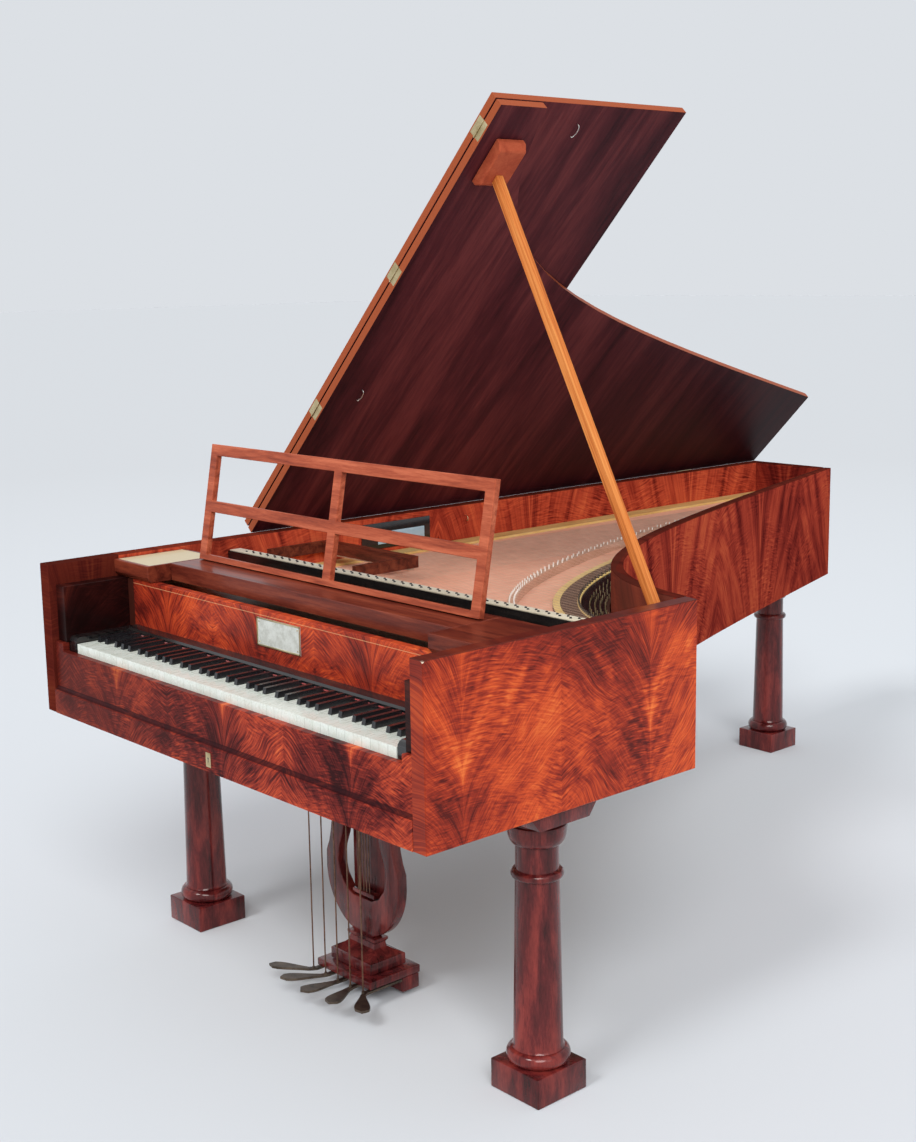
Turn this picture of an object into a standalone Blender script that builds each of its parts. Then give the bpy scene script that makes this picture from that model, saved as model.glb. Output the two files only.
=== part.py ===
"""Grand fortepiano of six and a half octaves, with its lid raised on the prop.

Units are metres, +Z is up, +X runs from the bass spine to the treble cheek and
+Y from the player towards the tail. The origin is on the floor under the middle
of the case. A depth is measured from the front edge of the case along +Y.
"""
import math

import bmesh
import bpy
from mathutils import Matrix, Vector
from mathutils.geometry import interpolate_bezier

# Clearances
GAP = 0.0003
KEY_GAP = 0.0008

# Case
CASE_LENGTH = 2.42
CASE_TOP = 0.865
CASE_HEIGHT = 0.32
WALL = 0.033
BENT_WALL = 0.025
CHEEK_LENGTH = 0.66
TAIL_WIDTH = 0.284
BOARD_THICKNESS = 0.030
EDGE_ROUND = 0.0015

# Curve of the bentside: how far its two ends pull on it
BENT_CHEEK_PULL = (0.42, 0.05)
BENT_TAIL_PULL = (0.434, 1.40)
BENT_STEPS = 20

# Front of the case
RAIL_DEPTH = 0.030
RAIL_HEIGHT = 0.053
RAIL_LEDGE = 0.008
SLIP_DEPTH = 0.0155
SLIP_TOP = 0.682
SLIP_EAR_TOP = 0.700
ARM_WIDTH = 0.033
ARM_TOP = 0.820
ARM_SETBACK = 0.017
ARM_LENGTH = 0.212

# Keyboard: 78 keys from the lowest C to the highest F
OCTAVE_WIDTH = 0.159
KEY_COUNT = 78
MIDDLE_OCTAVE = 36
KEY_FRONT = 0.0245
HEAD_LENGTH = 0.0385
SHARP_LENGTH = 0.084
SHARP_RISE = 0.012
SHARP_WIDTH = 0.0105
SHARP_TOP_WIDTH = 0.0085
NATURAL_TOP = 0.701
KEY_THICKNESS = 0.0225
KEY_LENGTH = 0.385
KEY_SLOT_END = 0.168
BALANCE_DEPTH = 0.2375
BALANCE_WIDTH = 0.010
SHIFT_CLEARANCE = 0.0035
KEY_BLOCK_WIDTH = 0.02777
KEY_BLOCK_TOP = 0.7135
FRAME_BASE = 0.014

# Nameboard, its foot batten and the bare plate
NAMEBOARD_DEPTH = 0.170
NAMEBOARD_THICKNESS = 0.018
BATTEN_DEPTH = 0.0217
BATTEN_BOTTOM = 0.7045
BATTEN_HEIGHT = 0.012
PLATE_WIDTH = 0.140
PLATE_HEIGHT = 0.056
PLATE_THICKNESS = 0.0014
PLATE_CENTRE = 0.778

# Inside the case
PLANK_FRONT = 0.2125
PLANK_REAR = 0.485
PLANK_TOP = 0.790
PLANK_THICKNESS = 0.045
DAMPER_FRONT = 0.452
DAMPER_DEPTH = 0.034
DAMPER_BOTTOM = 0.800
DAMPER_TOP = 0.838
DAMPER_FOOT = 0.026
BELLY_FRONT = 0.530
BELLY_THICKNESS = 0.022
SOUNDBOARD_TOP = 0.770
SOUNDBOARD_THICKNESS = 0.005
MOULDING_HEIGHT = 0.006
MOULDING_WIDTH = 0.050
BRIDGE_HEIGHT = 0.019
BRIDGE_WIDTH = 0.018
BRIDGE_START = (0.062, 0.040)
BRIDGE_END = (0.187, 0.270)
BRIDGE_START_PULL = (0.330, 0.135)
BRIDGE_END_PULL = (0.234, 1.398)
MOULDING_START = 0.070
MOULDING_END = 0.227
MOULDING_START_PULL = (0.533, 0.048)
MOULDING_END_PULL = (0.201, 1.214)
BASSOON_FRONT = 0.560
BASSOON_REACH = 0.150
BASSOON_LENGTH = 0.3314
BASSOON_BOTTOM = 0.802
BASSOON_HEIGHT = 0.026
BASSOON_BAR = 0.030
BASSOON_ARM = 0.012

# Candle blocks, desk shelf and music desk
BLOCK_WIDTH = 0.138
BLOCK_FRONT = 0.158
BLOCK_REAR = 0.335
BLOCK_HEIGHT = 0.0367
BLOCK_BEVEL = 0.010
SHELF_FRONT = 0.215
DESK_CLEARANCE = 0.006
DESK_HEIGHT = 0.247
DESK_THICKNESS = 0.013
DESK_STILE = 0.024
DESK_FOOT_RAIL = 0.012
DESK_MIDDLE = 0.103
DESK_DEPTH = 0.282
DESK_LEAN = math.radians(10.5)

# Lid, its folded front flap and the prop
LID_THICKNESS = 0.016
LID_FRONT = 0.540
LID_ANGLE = math.radians(46.0)
LID_ROUND = 0.001
FOLD_GAP = 0.004
BUFFER_WIDTH = 0.014
BUFFER_INSET = 0.050
BUFFER_SETBACK = 0.040
PAD_FROM_EDGE = 0.128
PAD_LENGTH = 0.105
PAD_WIDTH = 0.070
PAD_THICKNESS = 0.024
PROP_SECTION = 0.017
PROP_SETBACK = 0.048
PROP_FOOT_DROP = 0.035
PROP_TOP_OFFSET = 0.025
LUG_THICKNESS = 0.016

# Legs
LEG_INSET = 0.080
LEG_DEPTH = 0.325
TAIL_LEG_INSET = 0.140
TAIL_LEG_SETBACK = 0.090
PLINTH_WIDTH = 0.123
PLINTH_HEIGHT = 0.056
TORUS_RADIUS = 0.0588
TORUS_HEIGHT = 0.028
COLUMN_FOOT_RADIUS = 0.0453
COLUMN_NECK_RADIUS = 0.0392
RING_HEIGHT = 0.412
RING_RADIUS = 0.0480
CAPITAL_RADIUS = 0.0538
CAPITAL_HEIGHT = 0.050
SLAB_HEIGHT = 0.028
SLAB_LENGTH = 0.164
SLAB_WIDTH = 0.140
SLAB_CHAMFER = 0.021
TURN_STEPS = 20

# Lyre and pedals
LYRE_DEPTH = 0.365
LYRE_THICKNESS = 0.024
LYRE_FOOT = 0.1176
LYRE_HORN = 0.272
BACK_PANEL_WIDTH = 0.110
BACK_PANEL_THICKNESS = 0.012
LYRE_BASE_BOTTOM = 0.0403
PIVOT_BLOCK_FRONT = 0.3832
PIVOT_BLOCK_BOTTOM = 0.010
PEDAL_COUNT = 5
PEDAL_PITCH = 0.041
PEDAL_ROD_DEPTH = 0.285
PEDAL_TOP = 0.0388
PEDAL_THICKNESS = 0.005
PEDAL_LEVER_WIDTH = 0.010
PEDAL_LEAF_WIDTH = 0.034
PEDAL_LEAF_LENGTH = 0.095
PEDAL_FAN = math.radians(25.0)
PEDAL_RISE = 0.11
ROD_RADIUS = 0.0015
ROD_HOLE_RADIUS = 0.004
PEDAL_NAMES = ("una_corda", "bassoon", "moderator", "double_moderator", "damper")

# Lock plate on the front rail
LOCK_WIDTH = 0.016
LOCK_HEIGHT = 0.028
LOCK_THICKNESS = 0.0012

# Places that follow from the sizes above
FRONT = -CASE_LENGTH / 2
CASE_BOTTOM = CASE_TOP - CASE_HEIGHT
FLOOR_TOP = CASE_BOTTOM + BOARD_THICKNESS
NATURAL_PITCH = OCTAVE_WIDTH / 7
NATURAL_COUNT = 46
KEYS_LEFT = -NATURAL_COUNT * NATURAL_PITCH / 2
KEYS_RIGHT = -KEYS_LEFT
ARM_INNER = KEYS_RIGHT + SHIFT_CLEARANCE + KEY_BLOCK_WIDTH + GAP
INNER = ARM_INNER + ARM_WIDTH
HALF = INNER + WALL
KEY_BOTTOM = NATURAL_TOP - KEY_THICKNESS
SHARP_FRONT = KEY_FRONT + HEAD_LENGTH
BLOCK_TOP = ARM_TOP + GAP + BLOCK_HEIGHT
HINGE = Vector((-HALF, 0.0, CASE_TOP + GAP))
PAD_ALONG = 2 * HALF - PAD_FROM_EDGE
PAD_DEPTH = CHEEK_LENGTH - PROP_SETBACK
PROP_FOOT_X = INNER - PROP_SECTION
PROP_FOOT_Z = CASE_TOP - PROP_FOOT_DROP
PROP_TOP_ALONG = PAD_ALONG - PROP_TOP_OFFSET
LEG_X = HALF - LEG_INSET
TAIL_LEG_X = TAIL_LEG_INSET - HALF
TAIL_LEG_DEPTH = CASE_LENGTH - TAIL_LEG_SETBACK
BASSOON_RIGHT = BASSOON_LENGTH + 2 * GAP - INNER
STEPS_OF_OCTAVE = (0, 2, 4, 5, 7, 9, 11)

# Sideways places of the sharps, off the line between their naturals
SHARP_OFFSETS = {1: -0.0030, 3: 0.0030, 6: -0.0040, 8: 0.0, 10: 0.0040}

FINISHES = {
    "veneer": ((0.30, 0.065, 0.022), 0.30, 0.0),
    "dark_veneer": ((0.085, 0.020, 0.016), 0.25, 0.0),
    "turned_wood": ((0.16, 0.030, 0.018), 0.32, 0.0),
    "desk_wood": ((0.27, 0.075, 0.035), 0.40, 0.0),
    "prop_wood": ((0.72, 0.31, 0.10), 0.45, 0.0),
    "ebonised": ((0.008, 0.008, 0.009), 0.25, 0.0),
    "ivory": ((0.82, 0.84, 0.76), 0.35, 0.0),
    "soundboard": ((0.52, 0.33, 0.24), 0.50, 0.0),
    "pale_wood": ((0.80, 0.60, 0.32), 0.50, 0.0),
    "structure": ((0.40, 0.26, 0.15), 0.70, 0.0),
    "brass": ((0.72, 0.56, 0.27), 0.35, 1.0),
    "bronze": ((0.15, 0.105, 0.075), 0.45, 1.0),
    "silvered": ((0.80, 0.82, 0.83), 0.40, 0.6),
}


def at(depth):
    """World Y of a depth behind the front edge of the case."""
    return FRONT + depth


def clear_scene():
    for item in list(bpy.data.objects):
        bpy.data.objects.remove(item, do_unlink=True)


def finish(name):
    """Material of one of the finishes, made once."""
    known = bpy.data.materials.get(name)
    if known:
        return known
    colour, roughness, metallic = FINISHES[name]
    made = bpy.data.materials.new(name)
    made.use_nodes = True
    shader = made.node_tree.nodes["Principled BSDF"]
    shader.inputs["Base Color"].default_value = (*colour, 1.0)
    shader.inputs["Roughness"].default_value = roughness
    shader.inputs["Metallic"].default_value = metallic
    made.diffuse_color = (*colour, 1.0)
    return made


def place(name, shape, material, origin=(0.0, 0.0, 0.0), turn=None):
    """Object of a bmesh in world coordinates, with its origin where it turns.

    turn is a rotation about the origin that the built shape still has to take.
    """
    mesh = bpy.data.meshes.new(name)
    bmesh.ops.recalc_face_normals(shape, faces=shape.faces)
    bmesh.ops.transform(shape, matrix=Matrix.Translation(-Vector(origin)), verts=shape.verts)
    shape.to_mesh(mesh)
    shape.free()
    mesh.materials.append(finish(material))
    item = bpy.data.objects.new(name, mesh)
    item.location = origin
    if turn is not None:
        item.rotation_euler = turn
    bpy.context.scene.collection.objects.link(item)
    return item


def soften(item, width=EDGE_ROUND, segments=1):
    """Small round along the sharp edges of a piece."""
    bevel = item.modifiers.new("edge", "BEVEL")
    bevel.width = width
    bevel.segments = segments
    bevel.limit_method = "ANGLE"
    bevel.angle_limit = math.radians(40.0)
    return item


def shade_round(item):
    item.data.shade_smooth()
    item.data.set_sharp_from_angle(angle=math.radians(40.0))
    return item


def combine(item, other, operation):
    """Boolean of another object into item; the other one is only a guide."""
    other.hide_render = True
    other.display_type = "WIRE"
    step = item.modifiers.new(operation.lower(), "BOOLEAN")
    step.operation = operation
    step.object = other
    step.solver = "EXACT"
    return item


def prism(outline, axis, low, high):
    """Closed bmesh of an outline drawn square to an axis, from low to high.

    The outline holds (x, y) for Z, (y, z) for X and (x, z) for Y.
    """
    shape = bmesh.new()
    raise_to = {"X": lambda u, v: (low, u, v), "Y": lambda u, v: (u, low, v),
                "Z": lambda u, v: (u, v, low)}[axis]
    way = {"X": Vector((1, 0, 0)), "Y": Vector((0, 1, 0)), "Z": Vector((0, 0, 1))}[axis]
    base = shape.faces.new([shape.verts.new(raise_to(u, v)) for u, v in outline])
    grown = bmesh.ops.extrude_face_region(shape, geom=[base])
    moved = [part for part in grown["geom"] if isinstance(part, bmesh.types.BMVert)]
    bmesh.ops.translate(shape, vec=way * (high - low), verts=moved)
    return shape


def block(x_range, depth_range, z_range):
    """Closed bmesh of a plain box, with its place along the case as depths."""
    (left, right), (near, far), (low, high) = x_range, depth_range, z_range
    outline = [(left, at(near)), (right, at(near)), (right, at(far)), (left, at(far))]
    return prism(outline, "Z", low, high)


def loft(rings):
    """Closed bmesh through square rings of (half width, half depth, height)."""
    shape = bmesh.new()
    loops = []
    for half_x, half_y, height in rings:
        corners = [(-half_x, -half_y), (half_x, -half_y), (half_x, half_y), (-half_x, half_y)]
        verts = [shape.verts.new((x, y, height)) for x, y in corners]
        loops.append([shape.edges.new((verts[i], verts[(i + 1) % 4])) for i in range(4)])
    for lower, upper in zip(loops, loops[1:]):
        bmesh.ops.bridge_loops(shape, edges=lower + upper)
    for loop in (loops[0], loops[-1]):
        bmesh.ops.contextual_create(shape, geom=loop)
    return shape


def turned(profile, steps=TURN_STEPS):
    """Closed bmesh of a profile of (radius, height) spun about Z."""
    shape = bmesh.new()
    verts = [shape.verts.new((radius, 0.0, height)) for radius, height in profile]
    edges = [shape.edges.new(pair) for pair in zip(verts, verts[1:])]
    bmesh.ops.spin(shape, geom=verts + edges, cent=(0, 0, 0), axis=(0, 0, 1),
                   angle=math.tau, steps=steps, use_merge=True)
    bmesh.ops.remove_doubles(shape, verts=shape.verts, dist=1e-6)
    return shape


def round_out(radius, height, reach, rise, steps=5):
    """Half round moulding from the foot to the top of a turned ring."""
    angles = [math.pi * i / steps - math.pi / 2 for i in range(steps + 1)]
    middle = height + rise / 2
    return [(radius + reach * math.cos(a), middle + rise / 2 * math.sin(a)) for a in angles]


def bentside_outer():
    """Outer line of the bentside as (x, depth), from the cheek to the tail."""
    start = Vector((HALF, CHEEK_LENGTH, 0.0))
    end = Vector((-HALF + TAIL_WIDTH, CASE_LENGTH, 0.0))
    near = start + Vector((-BENT_CHEEK_PULL[0], BENT_CHEEK_PULL[1], 0.0))
    far = end + Vector((BENT_TAIL_PULL[0], -BENT_TAIL_PULL[1], 0.0))
    return [point.xy for point in interpolate_bezier(start, near, far, end, BENT_STEPS + 1)]


def bentside_reach(depth):
    """Sideways place of the bentside's outer line at a depth."""
    line = bentside_outer()
    for first, second in zip(line, line[1:]):
        if first.y <= depth < second.y:
            return first.lerp(second, (depth - first.y) / (second.y - first.y)).x
    return line[-1].x


def inset_line(line, distance):
    """Open line moved towards the spine by a distance."""
    moved = []
    for i, point in enumerate(line):
        along = (line[min(i + 1, len(line) - 1)] - line[max(i - 1, 0)]).normalized()
        moved.append(point + Vector((-along.y, along.x)) * -distance
                     if along.x > 0 else point + Vector((-along.y, along.x)) * distance)
    return moved


def cut_line(line, right, rear):
    """Part of a line left of x = right and in front of a rear depth."""
    kept = []
    for first, second in zip(line, line[1:]):
        if first.x >= right > second.x:
            kept.append(first.lerp(second, (first.x - right) / (first.x - second.x)))
        elif first.x < right and first.y < rear:
            kept.append(first)
        if first.y < rear <= second.y:
            kept.append(first.lerp(second, (rear - first.y) / (second.y - first.y)))
    last, before = line[-1], line[-2]
    if last.y < rear:
        kept.append(last)
        slope = (last.x - before.x) / (last.y - before.y)
        kept.append(Vector((last.x + slope * (rear - last.y), rear)))
    return kept


def bentside_line(distance, right, rear):
    return cut_line(inset_line(bentside_outer(), distance), right, rear)


def inner_outline(clearance, front_depth, rear_depth):
    """Outline of a board that fills the case between its walls."""
    side = INNER - clearance
    curve = bentside_line(BENT_WALL + clearance, side, rear_depth)
    points = [(-side, front_depth), (side, front_depth)]
    points += [(point.x, point.y) for point in curve]
    points.append((-side, rear_depth))
    return [(x, at(depth)) for x, depth in points]


def build_case_walls():
    tall = (CASE_BOTTOM, CASE_TOP)
    soften(place("spine", block((-HALF, -INNER), (0.0, CASE_LENGTH), tall), "veneer"))

    outer = cut_line(bentside_outer(), INNER - GAP, CASE_LENGTH)
    inner = bentside_line(BENT_WALL, INNER - GAP, CASE_LENGTH)
    band = [(p.x, at(p.y)) for p in outer] + [(p.x, at(p.y)) for p in reversed(inner)]
    soften(place("bentside", prism(band, "Z", *tall), "veneer"))

    end = cut_line(bentside_outer(), INNER, CASE_LENGTH)[0]
    outline = [(INNER, 0.0), (HALF, 0.0), (HALF, CHEEK_LENGTH), (INNER, end.y)]
    cheek = place("cheek", prism([(x, at(d)) for x, d in outline], "Z", *tall), "veneer")
    lug_top = PROP_FOOT_Z - PROP_SECTION / 2 - GAP
    lug = block((PROP_FOOT_X - PROP_SECTION, INNER + WALL / 2),
                (PAD_DEPTH - PROP_SECTION, PAD_DEPTH + PROP_SECTION),
                (lug_top - LUG_THICKNESS, lug_top))
    combine(cheek, place("guide_prop_lug", lug, "veneer"), "UNION")
    soften(cheek)

    near = bentside_line(BENT_WALL + GAP, INNER, CASE_LENGTH - WALL)[-1]
    far = bentside_line(BENT_WALL + GAP, INNER, CASE_LENGTH)[-1]
    left = -INNER + GAP
    outline = [(left, near.y), (near.x, near.y), (far.x, far.y), (left, far.y)]
    soften(place("tail_wall", prism([(x, at(d)) for x, d in outline], "Z", *tall), "veneer"))


def build_bottom():
    outline = inner_outline(GAP, RAIL_DEPTH + GAP, CASE_LENGTH - WALL - GAP)
    board = place("bottom_board", prism(outline, "Z", CASE_BOTTOM, FLOOR_TOP), "structure")
    for number in range(PEDAL_COUNT):
        hole = turned([(0.0, CASE_BOTTOM - GAP * 10), (ROD_HOLE_RADIUS, CASE_BOTTOM - GAP * 10),
                       (ROD_HOLE_RADIUS, FLOOR_TOP + GAP * 10), (0.0, FLOOR_TOP + GAP * 10)], 8)
        bmesh.ops.translate(hole, vec=(pedal_x(number), at(PEDAL_ROD_DEPTH), 0), verts=hole.verts)
        combine(board, place(f"guide_rod_hole_{number}", hole, "structure"), "DIFFERENCE")


def build_front():
    side = INNER - GAP
    rail_top = CASE_BOTTOM + RAIL_HEIGHT
    profile = [(0.0, CASE_BOTTOM), (0.0, rail_top - 0.004), (0.0015, rail_top - 0.0012),
               (0.0045, rail_top), (0.0060, rail_top + 0.0015), (RAIL_LEDGE - GAP, rail_top + 0.006),
               (RAIL_LEDGE - GAP, rail_top), (RAIL_DEPTH, rail_top), (RAIL_DEPTH, CASE_BOTTOM)]
    rail = prism([(at(d), z) for d, z in profile], "X", -side, side)
    place("lock_rail", rail, "veneer")

    ear = ARM_INNER
    outline = [(-side, rail_top + GAP), (side, rail_top + GAP), (side, SLIP_EAR_TOP),
               (ear, SLIP_EAR_TOP), (ear, SLIP_TOP), (-ear, SLIP_TOP),
               (-ear, SLIP_EAR_TOP), (-side, SLIP_EAR_TOP)]
    slip = prism(outline, "Y", at(RAIL_LEDGE), at(RAIL_LEDGE + SLIP_DEPTH))
    soften(place("key_slip", slip, "veneer"), 0.001)

    near = RAIL_DEPTH + GAP
    outline = [(near, FLOOR_TOP + GAP), (near, SLIP_EAR_TOP + GAP),
               (ARM_SETBACK, SLIP_EAR_TOP + GAP), (ARM_SETBACK, ARM_TOP), (ARM_LENGTH, ARM_TOP),
               (ARM_LENGTH, FLOOR_TOP + GAP)]
    for name, left in (("arm_bass", -side), ("arm_treble", ARM_INNER)):
        arm = prism([(at(d), z) for d, z in outline], "X", left, left + ARM_WIDTH - GAP)
        soften(place(name, arm, "veneer"), 0.0012)

    lock = block((-LOCK_WIDTH / 2, LOCK_WIDTH / 2), (-LOCK_THICKNESS, -GAP),
                 (CASE_BOTTOM + 0.010, CASE_BOTTOM + 0.010 + LOCK_HEIGHT))
    bmesh.ops.translate(lock, vec=(0.0, GAP / 2, 0.0), verts=lock.verts)
    plate = place("lock_plate", lock, "brass")
    keyhole = turned([(0.0, -0.01), (0.0022, -0.01), (0.0022, 0.01), (0.0, 0.01)], 10)
    bmesh.ops.rotate(keyhole, matrix=Matrix.Rotation(math.pi / 2, 3, "X"), verts=keyhole.verts)
    bmesh.ops.translate(keyhole, vec=(0.0, at(0.0), CASE_BOTTOM + 0.010 + LOCK_HEIGHT * 0.6),
                        verts=keyhole.verts)
    combine(plate, place("guide_keyhole", keyhole, "brass"), "DIFFERENCE")


def key_is_sharp(key):
    return key % 12 in SHARP_OFFSETS


def natural_number(key):
    """How many naturals lie below this key."""
    return 7 * (key // 12) + sum(1 for step in STEPS_OF_OCTAVE if step < key % 12)


def sharp_centre(key):
    return KEYS_LEFT + natural_number(key) * NATURAL_PITCH + SHARP_OFFSETS[key % 12]


def key_span(key):
    """Sides of a key: its head's left and right, then its tail's."""
    half_gap = KEY_GAP / 2
    if key_is_sharp(key):
        middle = sharp_centre(key)
        left, right = middle - SHARP_WIDTH / 2, middle + SHARP_WIDTH / 2
        return left, right, left, right
    left = KEYS_LEFT + natural_number(key) * NATURAL_PITCH + half_gap
    right = left + NATURAL_PITCH - KEY_GAP
    tail_left, tail_right = left, right
    if key > 0 and key_is_sharp(key - 1):
        tail_left = sharp_centre(key - 1) + SHARP_WIDTH / 2 + KEY_GAP
    if key < KEY_COUNT - 1 and key_is_sharp(key + 1):
        tail_right = sharp_centre(key + 1) - SHARP_WIDTH / 2 - KEY_GAP
    return left, right, tail_left, tail_right


def key_finger(key, rear):
    """Plan of a key from its rear left round its front to its rear right."""
    left, right, tail_left, tail_right = key_span(key)
    if key_is_sharp(key):
        front = at(SHARP_FRONT + KEY_GAP)
        return [(left, rear), (left, front), (right, front), (right, rear)]
    points = [(tail_left, rear)]
    if tail_left > left:
        points.append((tail_left, at(SHARP_FRONT)))
        points.append((left, at(SHARP_FRONT)))
    points += [(left, at(KEY_FRONT)), (right, at(KEY_FRONT))]
    if tail_right < right:
        points.append((right, at(SHARP_FRONT)))
        points.append((tail_right, at(SHARP_FRONT)))
    points.append((tail_right, rear))
    return points


def sharp_cap(key, sink):
    """Ebony block of a sharp, wider at its foot and sloped at its front."""
    middle = sharp_centre(key)
    near, far = at(SHARP_FRONT + KEY_GAP), at(SHARP_FRONT + SHARP_LENGTH)
    low, high = NATURAL_TOP - sink, NATURAL_TOP + SHARP_RISE
    slope = (SHARP_WIDTH - SHARP_TOP_WIDTH) / 2
    cap = prism([(middle - SHARP_WIDTH / 2, near), (middle + SHARP_WIDTH / 2, near),
                 (middle + SHARP_WIDTH / 2, far), (middle - SHARP_WIDTH / 2, far)],
                "Z", low, high)
    for vert in cap.verts:
        if vert.co.z > (low + high) / 2:
            vert.co.x += slope if vert.co.x < middle else -slope
            if vert.co.y < (near + far) / 2:
                vert.co.y += 3 * slope
    return cap


def join_shapes(first, second):
    """Adds the faces of a second bmesh to a first one."""
    spare = bpy.data.meshes.new("spare")
    second.to_mesh(spare)
    second.free()
    first.from_mesh(spare)
    bpy.data.meshes.remove(spare)
    return first


def key_group(name, keys):
    """Keys that share one node: fingers joined by their rear ends."""
    slot_end = at(KEY_SLOT_END)
    rear = at(KEY_FRONT + KEY_LENGTH)
    fingers = [point for key in keys for point in key_finger(key, slot_end)]
    outline = fingers + [(fingers[-1][0], rear), (fingers[0][0], rear)]
    body = place(name, prism(outline, "Z", KEY_BOTTOM, NATURAL_TOP), "ivory")
    caps = bmesh.new()
    for key in keys:
        if key_is_sharp(key):
            caps = join_shapes(caps, sharp_cap(key, 0.002))
    combine(body, place(f"guide_{name}_sharps", caps, "ebonised"), "UNION")


def single_key(name, key):
    """One key that turns about its balance point."""
    rear = at(KEY_FRONT + KEY_LENGTH)
    pivot = (0.0, at(BALANCE_DEPTH), KEY_BOTTOM)
    colour = "ebonised" if key_is_sharp(key) else "ivory"
    lever = prism(key_finger(key, rear), "Z", KEY_BOTTOM, NATURAL_TOP)
    item = place(name, lever, colour, pivot)
    if key_is_sharp(key):
        combine(item, place(f"guide_{name}", sharp_cap(key, 0.002), colour), "UNION")


def build_keyboard():
    key_group("keys_bass", range(MIDDLE_OCTAVE))
    key_group("keys_treble", range(MIDDLE_OCTAVE + 12, KEY_COUNT))
    note_names = ("c", "c_sharp", "d", "d_sharp", "e", "f",
                  "f_sharp", "g", "g_sharp", "a", "a_sharp", "b")
    for step, note in enumerate(note_names):
        single_key(f"key_{note}", MIDDLE_OCTAVE + step)

    low = FLOOR_TOP + GAP
    base = low + FRAME_BASE
    top = KEY_BOTTOM - GAP
    front = RAIL_DEPTH + 0.004
    rear = KEY_FRONT + KEY_LENGTH
    guide_top = top - 0.008
    profile = [(front, low), (front, base), (0.045, base), (0.045, guide_top),
               (0.070, guide_top), (0.070, base),
               (BALANCE_DEPTH - 0.014, base), (BALANCE_DEPTH - BALANCE_WIDTH / 2, top),
               (BALANCE_DEPTH + BALANCE_WIDTH / 2, top), (BALANCE_DEPTH + 0.014, base),
               (rear - 0.030, base), (rear - 0.022, top), (rear, top), (rear, low)]
    frame = prism([(at(d), z) for d, z in profile], "X", KEYS_LEFT, KEYS_RIGHT)
    place("key_frame", frame, "structure")

    inner = KEYS_RIGHT + SHIFT_CLEARANCE
    outer = ARM_INNER - GAP
    near = RAIL_DEPTH + GAP
    profile = [(near, low), (near, SLIP_TOP + GAP), (RAIL_LEDGE + SLIP_DEPTH + GAP, SLIP_TOP + GAP),
               (RAIL_LEDGE + SLIP_DEPTH + GAP, KEY_BLOCK_TOP - 0.008),
               (near - 0.002, KEY_BLOCK_TOP - 0.002), (near + 0.003, KEY_BLOCK_TOP),
               (NAMEBOARD_DEPTH - GAP, KEY_BLOCK_TOP), (NAMEBOARD_DEPTH - GAP, low)]
    for name, left, right in (("key_block_bass", -outer, -inner), ("key_block_treble", inner, outer)):
        place(name, prism([(at(d), z) for d, z in profile], "X", left, right), "ebonised")


def build_nameboard():
    side = ARM_INNER - GAP
    low = KEY_BLOCK_TOP + GAP
    near, far = NAMEBOARD_DEPTH, NAMEBOARD_DEPTH + NAMEBOARD_THICKNESS
    soften(place("nameboard", block((-side, side), (near, far), (low, ARM_TOP)), "veneer"), 0.001)

    batten_side = KEYS_RIGHT + SHIFT_CLEARANCE - GAP
    front = near - GAP - BATTEN_DEPTH
    top = BATTEN_BOTTOM + BATTEN_HEIGHT
    profile = [(front, BATTEN_BOTTOM), (front, top - 0.004), (front + 0.004, top),
               (near - GAP, top + 0.004), (near - GAP, BATTEN_BOTTOM)]
    batten = prism([(at(d), z) for d, z in profile], "X", -batten_side, batten_side)
    place("nameboard_batten", batten, "ebonised")

    half = PLATE_HEIGHT / 2
    plate = block((-PLATE_WIDTH / 2, PLATE_WIDTH / 2), (near - GAP - PLATE_THICKNESS, near - GAP),
                  (PLATE_CENTRE - half, PLATE_CENTRE + half))
    place("name_plate", plate, "silvered")


def bridge_curve():
    """Middle line of the bridge as (x, depth), from the treble to the bass."""
    start = Vector((INNER - BRIDGE_START[0], BELLY_FRONT + BRIDGE_START[1], 0.0))
    near = start - Vector((*BRIDGE_START_PULL, 0.0))
    end = Vector((BRIDGE_END[0] - INNER, CASE_LENGTH - BRIDGE_END[1], 0.0))
    far = end + Vector((BRIDGE_END_PULL[0], -BRIDGE_END_PULL[1], 0.0))
    return [point.xy for point in interpolate_bezier(start, near, far, end, BENT_STEPS + 1)]


def moulding_curve(rear):
    """Inner edge of the moulding along the bentside as (x, depth)."""
    start = Vector((INNER - GAP, BELLY_FRONT + MOULDING_START, 0.0))
    near = start - Vector((*MOULDING_START_PULL, 0.0))
    end = Vector((MOULDING_END - INNER, rear, 0.0))
    far = end + Vector((MOULDING_END_PULL[0], -MOULDING_END_PULL[1], 0.0))
    return [point.xy for point in interpolate_bezier(start, near, far, end, BENT_STEPS + 1)]


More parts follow.
